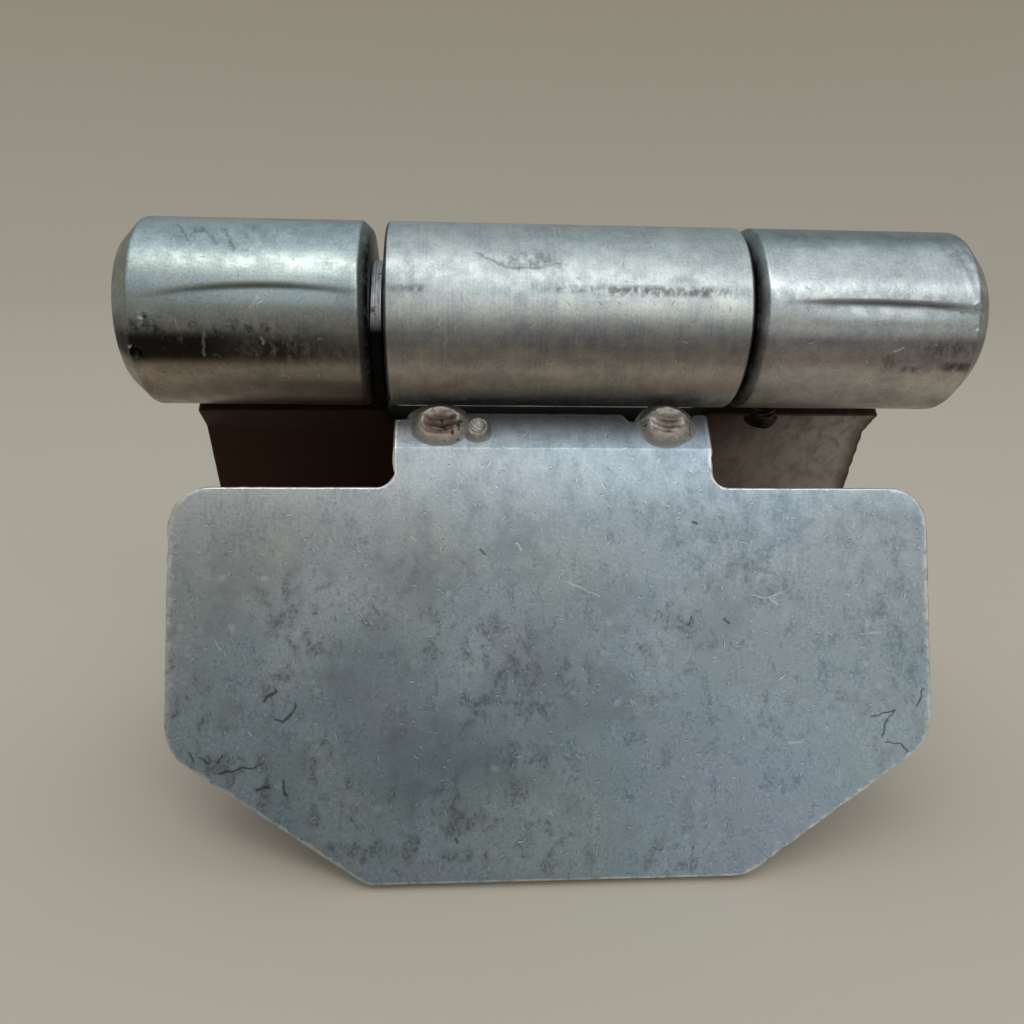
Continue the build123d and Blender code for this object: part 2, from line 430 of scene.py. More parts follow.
def makeOuterKnuckle(name, look):
    low, high = boxInMm(look["node"])
    side = look["side"]
    closedEnd, openEnd = (low.x, high.x) if side < 0 else (high.x, low.x)
    boreEnd = openEnd + side * knuckle["boreDepth"]
    bm = turn([
        (closedEnd, 0, 0),
        (closedEnd, barrelRadius - knuckle["closedCut"], knuckle["closedRound"]),
        (closedEnd - side * knuckle["closedCut"], barrelRadius, knuckle["closedRound"]),
        (openEnd + side * knuckle["openCut"], barrelRadius, knuckle["openRound"]),
        (openEnd, barrelRadius - knuckle["openCut"], knuckle["openRound"]),
        (openEnd, knuckle["outerBore"], knuckle["boreRound"]),
        (boreEnd, knuckle["outerBore"], 0.2),
        (boreEnd, 0, 0),
    ], False, knuckle["turnSteps"])
    cutAt(bm, (1, 0, 0), evenly(low.x, high.x, knuckle["cutStep"]))
    cutAt(bm, (1, 0, 0), evenly(min(closedEnd, closedEnd - 5 * side), max(closedEnd, closedEnd - 5 * side), 0.22))
    markEnds(bm, (openEnd,))
    wobbleSkin(bm, side)
    pressCrease(bm, look["crease"])
    for pit in look["pits"]:
        pressPit(bm, *pit)
    if "ridges" in look:
        pressRidges(bm, look["ridges"])
    return addPiece(bm, name, "rear", [look["node"]], onPin)


washer = {"ringWidth": 2.3}


def makeWasher():
    low, high = boxInMm("left_washer")
    outer = (high.z - low.z) / 2
    inner = outer - washer["ringWidth"]
    bm = turn([(low.x, inner, 0.15), (low.x, outer, 0.25), (high.x, outer, 0.25), (high.x, inner, 0.15)], True, 180)
    hang = Matrix.Translation((0, 0, (low.z + high.z) / 2 - axisHeight))
    return addPiece(bm, "leftRing", "rear", ["left_washer"], onPin @ hang)


def makePin():
    low, high = boxInMm("hinge_pin")
    radius = (high.z - low.z) / 2
    bm = turn([(low.x, 0, 0), (low.x, radius, 0.8), (high.x, radius, 0.8), (high.x, 0, 0)], False, 144)
    cutAt(bm, (1, 0, 0), evenly(low.x, high.x, 4))
    return addPiece(bm, "pinBar", "rear", ["hinge_pin"], onPin)


middleSleeve = makeMiddleKnuckle()
caps = [makeOuterKnuckle(name, look) for name, look in outerKnuckles.items()]
leftRing = makeWasher()
pinBar = makePin()

# Weld nuggets: rippled buttons across the slot between a tab's end and its knuckle

nugget = {
    "reach": 1.2,
    "rings": 40,
    "spokes": 112,
    "depth": 2.0,
}
nuggets = {
    "frontTackLeft": {
        "node": "front_weld_left", "side": -1, "body": "front",
        "drops": [
            {"across": -16.2, "drop": 15.9, "size": (3.9, 3.05), "proud": 1.45, "crater": 0.5, "lip": 0.18,
             "ripple": 0.018, "turn": 0.0, "climb": 0.25, "heart": 1.0},
            {"across": -11.1, "drop": 16.5, "size": (1.9, 1.9), "proud": 0.9, "crater": 0.4, "lip": 0.2,
             "ripple": 0.05, "turn": 0.6, "climb": 0.0, "heart": 0.25},
        ],
    },
    "frontTackRight": {
        "node": "front_weld_right", "side": -1, "body": "front",
        "drops": [
            {"across": 14.95, "drop": 15.9, "size": (3.75, 3.05), "proud": 1.35, "crater": 0.3, "lip": 0.12,
             "ripple": 0.035, "turn": 0.2, "climb": 0.75, "heart": 0.7},
        ],
    },
    "rearTackLeft": {
        "node": "rear_weld_left", "side": 1, "body": "rear",
        "drops": [
            {"across": -38.3, "drop": 16.0, "size": (3.8, 3.5), "proud": 1.8, "crater": 0.4, "lip": 0.2,
             "ripple": 0.09, "turn": -0.3, "climb": 0.4, "heart": 0.8},
        ],
    },
    "rearTackRight": {
        "node": "rear_weld_right", "side": 1, "body": "rear",
        "drops": [
            {"across": 37.5, "drop": 16.0, "size": (3.7, 3.5), "proud": 1.8, "crater": 0.45, "lip": 0.2,
             "ripple": 0.07, "turn": 0.35, "climb": 0.4, "heart": 0.8},
        ],
    },
}


def tabOffset(drop):
    return leafOuter - (leaf["bend"] - drop) * math.tan(math.radians(leaf["bendAngle"]))


def shapeDrop(bm, look, seed):
    # a round button with a raised ring, a sunken heart and half-moon ripples below the knuckle
    reach, count = nugget["reach"], nugget["rings"]
    top = [bm.verts.new((reach * step / count, 0, 0)) for step in range(count + 1)]
    under = [bm.verts.new((reach * 0.85, -nugget["depth"], 0)), bm.verts.new((0, -nugget["depth"], 0))]
    line = top + under
    edges = [bm.edges.new(pair) for pair in zip(line, line[1:])]
    before = set(bm.verts) - set(line)
    bmesh.ops.spin(bm, geom=line + edges, cent=(0, 0, 0), axis=(0, 1, 0), angle=math.tau, steps=nugget["spokes"],
                   use_merge=True)
    made = [vert for vert in bm.verts if vert not in before]
    bmesh.ops.remove_doubles(bm, verts=made, dist=1e-4)
    made = [vert for vert in bm.verts if vert not in before]
    heart = bm.verts.layers.float["heart"]
    wide, tall = look["size"]
    for vert in made:
        across, out, up = vert.co
        edge = 1 + 0.09 * noise.noise(Vector((across * 1.3 + seed, up * 1.3, 4.0)))
        if out < -0.5:
            vert.co = Vector((across * wide, out, up * tall))
            continue
        radius = math.hypot(across, up)
        inner = math.hypot(across - 0.05, up - 0.1 * look["heart"])
        fromTop = math.hypot(across * 0.9, up - 0.8 + look["turn"] * across)
        body = look["proud"] * (1 - easeBetween(0.55, 1.1, radius))
        crater = look["crater"] * (1 - easeBetween(0.2, 0.66, inner))
        lip = look["lip"] * math.exp(-(((radius - 0.68) / 0.13) ** 2))
        wave = look["ripple"] * math.sin(fromTop * 19) * (1 - easeBetween(0.75, 1.0, radius))
        climb = look["climb"] * easeBetween(0.22, 0.34, up) * (1 - easeBetween(0.8, 1.1, radius))
        rough = 0.06 * noise.noise(Vector((across * 2.6, up * 2.6, seed)))
        sunk = -0.2 * easeBetween(1.05, reach, radius)
        vert.co = Vector((across * wide * edge, body - crater + lip + wave + climb + rough + sunk, up * tall * edge))
        core = max(0.0, 1 - inner / 1.05) * (1 + 0.12 * math.sin(fromTop * 19))
        low = 0.25 * math.exp(-(((radius - 0.62) / 0.1) ** 2)) * easeBetween(0.1, -0.4, up)
        vert[heart] = (core + low) * look["heart"] * (1 - 0.7 * easeBetween(0.2, 0.35, up) * min(1.0, look["climb"] * 2))
    tilt = Matrix.Rotation(math.radians(leaf["bendAngle"]), 4, "X")
    middle = Matrix.Translation((look["across"], tabOffset(look["drop"]), -look["drop"]))
    bmesh.ops.transform(bm, verts=made, matrix=middle @ tilt)


def makeNugget(name, look, seed):
    bm = bmesh.new()
    bm.verts.layers.float.new("heart")
    for index, drop in enumerate(look["drops"]):
        shapeDrop(bm, drop, seed + index * 7.3)
    return addPiece(bm, name, look["body"], [look["node"]], leafPlace(look["side"]))


innerTack = {
    "node": "rear_weld_inner",
    "drop": {"across": 0, "drop": leaf["bend"], "size": (2.4, 2.1), "proud": 1.5, "crater": 0.3, "lip": 0.1,
             "ripple": 0.1, "turn": 0.2, "climb": 0.0, "heart": 1.0},
    "sink": 0.5,
}


def makeInnerNugget():
    # the outer kind turned round, on the inner corner of the right tab's end
    low, high = boxInMm(innerTack["node"])
    bm = bmesh.new()
    bm.verts.layers.float.new("heart")
    shapeDrop(bm, innerTack["drop"], 11.0)
    bmesh.ops.translate(bm, verts=bm.verts[:], vec=(0, -leafOuter, leaf["bend"]))
    bmesh.ops.rotate(bm, verts=bm.verts[:], cent=(0, 0, 0), matrix=Matrix.Rotation(math.pi, 3, "Z"))
    middle = Vector(((low.x + high.x) / 2, (low.y + high.y) / 2 + innerTack["sink"], (low.z + high.z) / 2))
    return addPiece(bm, "innerTack", "rear", [innerTack["node"]],
                    Matrix.Scale(mm, 4) @ Matrix.Translation(middle))


tacks = [makeNugget(name, look, 2.0 + 3 * index) for index, (name, look) in enumerate(nuggets.items())]
tacks.append(makeInnerNugget())
print("shapes done")

# Small steps for building node trees


def feed(tree, socket, value):
    if isinstance(value, bpy.types.NodeSocket):
        tree.links.new(value, socket)
    elif value is not None:
        socket.default_value = value


def mathOf(tree, operation, first, second=None, clamp=False):
    node = tree.nodes.new("ShaderNodeMath")
    node.operation = operation
    node.use_clamp = clamp
    feed(tree, node.inputs[0], first)
    feed(tree, node.inputs[1], second)
    return node.outputs[0]


def sumOf(tree, *parts):
    # parts are (value, share)
    total = None
    for value, share in parts:
        item = mathOf(tree, "MULTIPLY", value, share)
        total = item if total is None else mathOf(tree, "ADD", total, item)
    return total


def mostOf(tree, *masks):
    total = masks[0]
    for mask in masks[1:]:
        total = mathOf(tree, "MAXIMUM", total, mask)
    return total


def vectorOf(tree, operation, first, second=None, scale=None):
    node = tree.nodes.new("ShaderNodeVectorMath")
    node.operation = operation
    feed(tree, node.inputs[0], first)
    feed(tree, node.inputs[1], second)
    if scale is not None:
        feed(tree, node.inputs["Scale"], scale)
    return node.outputs["Value" if operation in ("DOT_PRODUCT", "LENGTH", "DISTANCE") else "Vector"]


def rangeOf(tree, value, low, high, start=0.0, end=1.0):
    node = tree.nodes.new("ShaderNodeMapRange")
    node.interpolation_type = "SMOOTHSTEP"
    for label, item in (("Value", value), ("From Min", low), ("From Max", high), ("To Min", start), ("To Max", end)):
        feed(tree, node.inputs[label], item)
    return node.outputs["Result"]


def noiseOf(tree, place, scale, detail=2.0, rough=0.5, distort=0.0, output="Fac", flat=False):
    node = tree.nodes.new("ShaderNodeTexNoise")
    if flat:
        node.noise_dimensions = "2D"
    for label, item in (("Vector", place), ("Scale", scale), ("Detail", detail), ("Roughness", rough), ("Distortion", distort)):
        feed(tree, node.inputs[label], item)
    return node.outputs[output]


def mixOf(tree, amount, first, second, mode="MIX"):
    node = tree.nodes.new("ShaderNodeMix")
    node.data_type = "RGBA"
    node.blend_type = mode
    feed(tree, node.inputs["Factor"], amount)
    for socket, value in ((node.inputs[6], first), (node.inputs[7], second)):
        feed(tree, socket, (*value, 1) if isinstance(value, tuple) and len(value) == 3 else value)
    return node.outputs[2]


def rampOf(tree, value, stops):
    node = tree.nodes.new("ShaderNodeValToRGB")
    ramp = node.color_ramp
    while len(ramp.elements) < len(stops):
        ramp.elements.new(0.5)
    for element, (at, colour) in zip(ramp.elements, stops):
        element.position = at
        element.color = (*colour, 1)
    feed(tree, node.inputs[0], value)
    return node.outputs["Color"]


def partsOf(tree, vector):
    node = tree.nodes.new("ShaderNodeSeparateXYZ")
    feed(tree, node.inputs[0], vector)
    return node.outputs


def joinOf(tree, first, second):
    node = tree.nodes.new("ShaderNodeCombineXYZ")
    feed(tree, node.inputs[0], first)
    feed(tree, node.inputs[1], second)
    return node.outputs[0]


def makeGroup(name, given, results, fill):
    group = bpy.data.node_groups.new(name, "ShaderNodeTree")
    for label, kind, value in given:
        socket = group.interface.new_socket(name=label, in_out="INPUT", socket_type="NodeSocket" + kind)
        if value is not None:
            socket.default_value = value
    for label, kind in results:
        group.interface.new_socket(name=label, in_out="OUTPUT", socket_type="NodeSocket" + kind)
    enter = group.nodes.new("NodeGroupInput")
    leave = group.nodes.new("NodeGroupOutput")
    for label, socket in fill(group, enter.outputs).items():
        group.links.new(socket, leave.inputs[label])
    return group


def useGroup(tree, group, **values):
    node = tree.nodes.new("ShaderNodeGroup")
    node.node_tree = group
    for label, value in values.items():
        feed(tree, node.inputs[label], value)
    return node.outputs


# Shared effects. Every place is in millimetres, and a flat place has only X and Y.


def fillPlate(tree, given):
    flat = given["Flat"]
    parts = partsOf(tree, flat)
    patches = noiseOf(tree, flat, 0.06, 2, 0.55, 0.3, flat=True)
    clouds = noiseOf(tree, vectorOf(tree, "MULTIPLY", flat, (1.25, 0.9, 1.0)), 0.3, 4, 0.72, 0.2, flat=True)
    grain = noiseOf(tree, flat, 1.9, 2, 0.75, flat=True)
    thick = sumOf(tree, (rangeOf(tree, patches, 0.38, 0.62), 0.7), (rangeOf(tree, parts["Y"], -24.0, -44.0), 0.5),
                  (rangeOf(tree, parts["X"], 0.0, 40.0), -0.4))
    thick = mathOf(tree, "MULTIPLY", thick, rangeOf(tree, parts["Y"], -24.0, -42.0, 0.12, 1.0))
    speckle = rangeOf(tree, grain, 0.36, 0.62, 0.35, 1.0)
    blotch = mathOf(tree, "MULTIPLY", mathOf(tree, "MULTIPLY", rangeOf(tree, clouds, 0.42, 0.68), thick), speckle, clamp=True)
    return {"Patches": rangeOf(tree, patches, 0.3, 0.7), "Clouds": clouds, "Grain": grain, "Blotch": blotch}


plateTexture = makeGroup(
    "plateTexture", [("Flat", "Vector", None)],
    [("Patches", "Float"), ("Clouds", "Float"), ("Grain", "Float"), ("Blotch", "Float")], fillPlate)


def fillZinc(tree, given):
    place = given["Place"]
    sizes = {label: mathOf(tree, "DIVIDE", 1.0, given[label]) for label in ("PatchSize", "CloudSize", "GrainSize")}
    return {
        "Patches": rangeOf(tree, noiseOf(tree, place, sizes["PatchSize"], 2, 0.55, 0.3), 0.32, 0.68),
        "Clouds": rangeOf(tree, noiseOf(tree, place, sizes["CloudSize"], 3, 0.62), 0.3, 0.7),
        "Grain": rangeOf(tree, noiseOf(tree, place, sizes["GrainSize"], 1, 0.6), 0.3, 0.7),
    }


zincTexture = makeGroup(
    "zincTexture",
    [("Place", "Vector", None), ("PatchSize", "Float", 18.0), ("CloudSize", "Float", 4.0), ("GrainSize", "Float", 0.4)],
    [("Patches", "Float"), ("Clouds", "Float"), ("Grain", "Float")], fillZinc)


def fillChips(tree, given):
    # short marks, one in some of the cells, each bright along one side and dark along the other
    cells = tree.nodes.new("ShaderNodeTexVoronoi")
    cells.voronoi_dimensions = "2D"
    moved = vectorOf(tree, "ADD", given["Flat"], given["Shift"])
    feed(tree, cells.inputs["Vector"], moved)
    feed(tree, cells.inputs["Scale"], mathOf(tree, "DIVIDE", 1.0, given["CellSize"]))
    seeds = partsOf(tree, cells.outputs["Color"])
    fromMiddle = vectorOf(tree, "SUBTRACT", moved, cells.outputs["Position"])
    turned = tree.nodes.new("ShaderNodeVectorRotate")
    turned.rotation_type = "Z_AXIS"
    feed(tree, turned.inputs["Vector"], vectorOf(tree, "MULTIPLY", fromMiddle, (1.0, 1.0, 0.0)))
    feed(tree, turned.inputs["Angle"], mathOf(tree, "MULTIPLY", seeds[0], 6.28))
    chosen = mathOf(tree, "LESS_THAN", seeds[1], given["Share"])
    length = mathOf(tree, "MULTIPLY", given["Length"], mathOf(tree, "ADD", seeds[2], 0.25))
    spread = tree.nodes.new("ShaderNodeCombineXYZ")
    feed(tree, spread.inputs[0], length)
    feed(tree, spread.inputs[1], given["Width"])
    feed(tree, spread.inputs[2], 1.0)
    local = vectorOf(tree, "DIVIDE", turned.outputs[0], spread.outputs[0])
    light = rangeOf(tree, vectorOf(tree, "LENGTH", local), 1.0, 0.3)
    dark = rangeOf(tree, vectorOf(tree, "LENGTH", vectorOf(tree, "ADD", local, (0.0, 1.3, 0.0))), 1.0, 0.3)
    strength = mathOf(tree, "MULTIPLY", chosen, rangeOf(tree, seeds[2], 0.0, 1.0, 0.25, 1.0))
    return {"Light": mathOf(tree, "MULTIPLY", strength, light), "Dark": mathOf(tree, "MULTIPLY", strength, dark)}


chips = makeGroup(
    "chips",
    [("Flat", "Vector", None), ("Shift", "Vector", None), ("CellSize", "Float", 3.0), ("Length", "Float", 0.8),
     ("Width", "Float", 0.14), ("Share", "Float", 0.5)],
    [("Light", "Float"), ("Dark", "Float")], fillChips)


def fillStroke(tree, given):
    # a single mark from one point to another
    fromStart = vectorOf(tree, "SUBTRACT", given["Flat"], given["Start"])
    whole = vectorOf(tree, "SUBTRACT", given["End"], given["Start"])
    part = mathOf(tree, "DIVIDE", vectorOf(tree, "DOT_PRODUCT", fromStart, whole),
                  vectorOf(tree, "DOT_PRODUCT", whole, whole), clamp=True)
    nearest = vectorOf(tree, "SCALE", whole, scale=part)
    apart = vectorOf(tree, "DISTANCE", fromStart, nearest)
    return {"Mask": rangeOf(tree, apart, mathOf(tree, "MULTIPLY", given["Width"], 1.5), 0.0)}


stroke = makeGroup(
    "stroke",
    [("Flat", "Vector", None), ("Start", "Vector", None), ("End", "Vector", None), ("Width", "Float", 0.3)],
    [("Mask", "Float")], fillStroke)


def fillEdge(tree, given):
    uneven = noiseOf(tree, given["Place"], 0.9, 2, 0.6)
    return {"Mask": rangeOf(tree, mathOf(tree, "MULTIPLY", given["Worn"], mathOf(tree, "ADD", uneven, 0.25)), 0.45, 0.85)}


edgeWearAndShade = makeGroup(
    "edgeWearAndShade", [("Place", "Vector", None), ("Worn", "Float", 0.0)], [("Mask", "Float")], fillEdge)


def fillTurned(tree, given):
    # fine lines that run round the pin
    lines = noiseOf(tree, vectorOf(tree, "MULTIPLY", given["Place"], (6.0, 0.1, 0.1)), 1.0, 2, 0.7)
    return {"Lines": rangeOf(tree, lines, 0.3, 0.7)}


turnedLines = makeGroup("turnedLines", [("Place", "Vector", None)], [("Lines", "Float")], fillTurned)


def fillRound(tree, given):
    parts = partsOf(tree, given["Place"])
    angle = mathOf(tree, "ARCTAN2", parts["Z"], mathOf(tree, "MULTIPLY", parts["Y"], -1.0))
    return {"Unrolled": joinOf(tree, parts["X"], mathOf(tree, "MULTIPLY", angle, barrelRadius)),
            "Along": parts["X"], "Degrees": mathOf(tree, "DEGREES", angle)}


roundPin = makeGroup(
    "roundPin", [("Place", "Vector", None)], [("Unrolled", "Vector"), ("Along", "Float"), ("Degrees", "Float")], fillRound)


def fillStain(tree, given):
    # an uneven stain between two limits along the pin and two round it, with soft borders
    inside = None
    for label, low, high, soft in (("Along", "Left", "Right", "SoftAlong"), ("Degrees", "Below", "Above", "SoftRound")):
        value = given[label]
        enter = rangeOf(tree, value, mathOf(tree, "SUBTRACT", given[low], given[soft]), mathOf(tree, "ADD", given[low], given[soft]))
        leave = rangeOf(tree, value, mathOf(tree, "ADD", given[high], given[soft]), mathOf(tree, "SUBTRACT", given[high], given[soft]))
        both = mathOf(tree, "MULTIPLY", enter, leave)
        inside = both if inside is None else mathOf(tree, "MULTIPLY", inside, both)
    torn = rangeOf(tree, given["Broken"], mathOf(tree, "SUBTRACT", given["Open"], 0.16), mathOf(tree, "ADD", given["Open"], 0.1))
    return {"Mask": mathOf(tree, "MULTIPLY", mathOf(tree, "MULTIPLY", inside, given["Strength"]), torn)}


stain = makeGroup(
    "stain",
    [(label, "Float", 0.0) for label in ("Along", "Degrees", "Left", "Right", "SoftAlong", "Below", "Above", "SoftRound",
                                         "Broken", "Open", "Strength")],
    [("Mask", "Float")], fillStain)

# Materials


def newMaterial(name):
    material = bpy.data.materials.new(name)
    material.use_nodes = True
    tree = material.node_tree
    return material, tree, tree.nodes["Principled BSDF"]


def placeIn(tree, side, lean):
    # object coordinates turned to a leaf's own, in millimetres about the pin
    coordinates = tree.nodes.new("ShaderNodeTexCoord")
    mapping = tree.nodes.new("ShaderNodeMapping")
    turnBack = math.radians(-lean)
    centre = Matrix.Rotation(turnBack, 3, "X") @ Vector((0, 0, axisHeight))
    mapping.inputs["Scale"].default_value = (1 / mm, side / mm, 1 / mm)
    mapping.inputs["Rotation"].default_value = (turnBack, 0, 0)
    mapping.inputs["Location"].default_value = -centre
    tree.links.new(coordinates.outputs["Object"], mapping.inputs["Vector"])
    return mapping.outputs[0]


def attributeOf(tree, name):
    node = tree.nodes.new("ShaderNodeAttribute")
    node.attribute_name = name
    return node.outputs["Fac"]


def addBump(tree, shader, height, distance, strength=1.0):
    bump = tree.nodes.new("ShaderNodeBump")
    bump.inputs["Strength"].default_value = strength
    bump.inputs["Distance"].default_value = distance
    tree.links.new(height, bump.inputs["Height"])
    tree.links.new(bump.outputs["Normal"], shader.inputs["Normal"])


leafZinc = {
    "tones": [(0.33, (0.30, 0.35, 0.375)), (0.46, (0.45, 0.50, 0.52)), (0.54, (0.53, 0.575, 0.59)), (0.69, (0.68, 0.715, 0.72))],
    "blue": (0.93, 0.99, 1.04),
    "green": (0.96, 0.995, 0.99),
    "violet": (1.04, 0.98, 1.01),
    "warm": (1.12, 1.0, 0.95),
    "cool": (0.96, 0.985, 1.07),
    "cloud": (0.17, 0.205, 0.24),
    "darkClouds": [
        (-18.8, 35.7, 5.0, 0.55), (-5.5, 33.0, 3.5, 0.4), (-4.1, 49.1, 6.0, 0.7), (-14.8, 61.1, 8.0, 0.6),
        (-25.5, 47.7, 6.0, 0.4), (5.2, 53.1, 5.0, 0.45), (19.9, 42.4, 4.0, 0.35), (-41.6, 37.0, 6.0, 0.35),
        (-8.1, 58.4, 6.0, 0.5), (8.0, 40.5, 3.5, 0.3),
    ],
    "blotch": (0.15, 0.185, 0.215),
    "bare": (0.86, 0.87, 0.86),
    "mark": (0.045, 0.05, 0.055),
    "spot": (0.66, 0.70, 0.68),
    # these four set painted light and shade: the tab's painted shade, the lower leaf's painted falloff on left and
    # right, and the neck's painted sheen
    "paintedTabShade": (0.21, 0.19, 0.175),
    "paintedShadeLowLeft": (0.60, 0.65, 0.69),
    "paintedLightLowRight": (1.06, 1.13, 1.17),
    "paintedNeckSheen": 1.44,
    "strokes": [
        ((-39.2, 52.7), (-37.6, 51.4), 0.26), ((-37.8, 55.1), (-36.7, 55.4), 0.2), ((-36.7, 55.4), (-35.7, 54.6), 0.24),
        ((-35.7, 54.6), (-35.1, 53.1), 0.2), ((-39.9, 64.0), (-38.4, 63.7), 0.26), ((-36.6, 63.1), (-36.2, 64.9), 0.26),
        ((-45.2, 60.6), (-44.4, 59.6), 0.14), ((-48.8, 59.3), (-48.0, 60.3), 0.16), ((-47.4, 59.8), (-46.5, 60.6), 0.14),
        ((-44.9, 62.0), (-39.4, 60.9), 0.13), ((42.8, 55.7), (46.2, 55.0), 0.15), ((44.2, 58.3), (45.0, 56.3), 0.16),
        ((45.0, 56.3), (46.3, 55.0), 0.13), ((49.4, 54.4), (50.2, 52.1), 0.16), ((44.8, 59.3), (46.9, 59.6), 0.12),
        ((46.9, 59.6), (47.7, 60.6), 0.14), ((17.8, 42.0), (17.6, 43.1), 0.15), ((22.6, 42.3), (23.1, 42.8), 0.25),
        ((18.2, 29.0), (18.9, 29.4), 0.2), ((-10.8, 32.8), (-10.2, 33.4), 0.25), ((-14.0, 71.1), (-13.7, 71.5), 0.25),
    ],
    "lightStrokes": [
        ((26.4, 39.2), (29.5, 39.7), 0.13), ((28.8, 39.4), (30.5, 38.8), 0.12), ((28.8, 39.7), (30.1, 40.6), 0.12),
        ((41.6, 44.4), (44.1, 44.5), 0.12), ((31.4, 59.2), (32.9, 59.2), 0.2), ((0.6, 37.1), (5.3, 39.1), 0.1),
        ((-6.0, 32.0), (-5.3, 32.9), 0.16), ((-20.0, 31.0), (-19.4, 31.6), 0.14), ((-45.7, 44.8), (-44.6, 46.0), 0.16),
    ],
}


def strokeMasks(tree, flat, strokes):
    masks = []
    for start, end, width in strokes:
        masks.append(useGroup(tree, stroke, Flat=flat, Start=(start[0], -start[1], 0), End=(end[0], -end[1], 0), Width=width)["Mask"])
    return mostOf(tree, *masks)


def cloudMask(tree, flat, zinc, darkClouds):
    # soft dark clouds with torn borders, each (across, drop, radius, share)
    shake = vectorOf(tree, "SUBTRACT", noiseOf(tree, flat, 0.22, 2, 0.6, output="Color", flat=True), (0.5, 0.5, 0.5))
    torn = vectorOf(tree, "ADD", flat, vectorOf(tree, "SCALE", vectorOf(tree, "MULTIPLY", shake, (1, 1, 0)), scale=13.0))
    masks = []
    for across, drop, radius, share in darkClouds:
        mask = useGroup(tree, stroke, Flat=torn, Start=(across - 0.4 * radius, -drop, 0), End=(across + 0.4 * radius, -drop, 0),
                        Width=radius)["Mask"]
        masks.append(mathOf(tree, "MULTIPLY", mask, share))
    speckle = sumOf(tree, (zinc["Clouds"], 0.6), (zinc["Grain"], 0.4))
    return mathOf(tree, "MULTIPLY", mostOf(tree, *masks), rangeOf(tree, speckle, 0.36, 0.6, 0.3, 1.0))


def shadeTones(tree, flat, zinc, look):
    # the plating's tones with a slow drift between a blue, a green and a violet cast
    tone = sumOf(tree, (zinc["Patches"], 0.11), (zinc["Clouds"], 0.53), (zinc["Grain"], 0.36))
    parts = partsOf(tree, flat)
    lively = rangeOf(tree, parts["Y"], -38.0, -22.0, 1.0, 0.6)
    tone = mathOf(tree, "ADD", mathOf(tree, "MULTIPLY", mathOf(tree, "SUBTRACT", tone, 0.5), lively), 0.5)
    colour = rampOf(tree, tone, look["tones"])
    drift = noiseOf(tree, flat, 0.035, 1, 0.5, flat=True)
    colour = mixOf(tree, rangeOf(tree, drift, 0.35, 0.5), mixOf(tree, 1.0, colour, look["green"], "MULTIPLY"),
                   mixOf(tree, 1.0, colour, look["blue"], "MULTIPLY"))
    colour = mixOf(tree, rangeOf(tree, drift, 0.52, 0.66), colour, mixOf(tree, 1.0, colour, look["violet"], "MULTIPLY"))
    warm = mathOf(tree, "MULTIPLY", rangeOf(tree, parts["X"], 0.0, -45.0), rangeOf(tree, parts["Y"], -48.0, -26.0))
    colour = mixOf(tree, warm, colour, mixOf(tree, 1.0, colour, look["warm"], "MULTIPLY"))
    cool = rangeOf(tree, parts["X"], -20.0, 35.0)
    colour = mixOf(tree, cool, colour, mixOf(tree, 1.0, colour, look["cool"], "MULTIPLY"))
    return mixOf(tree, mathOf(tree, "MULTIPLY", zinc["Blotch"], 0.8), colour, look["blotch"])


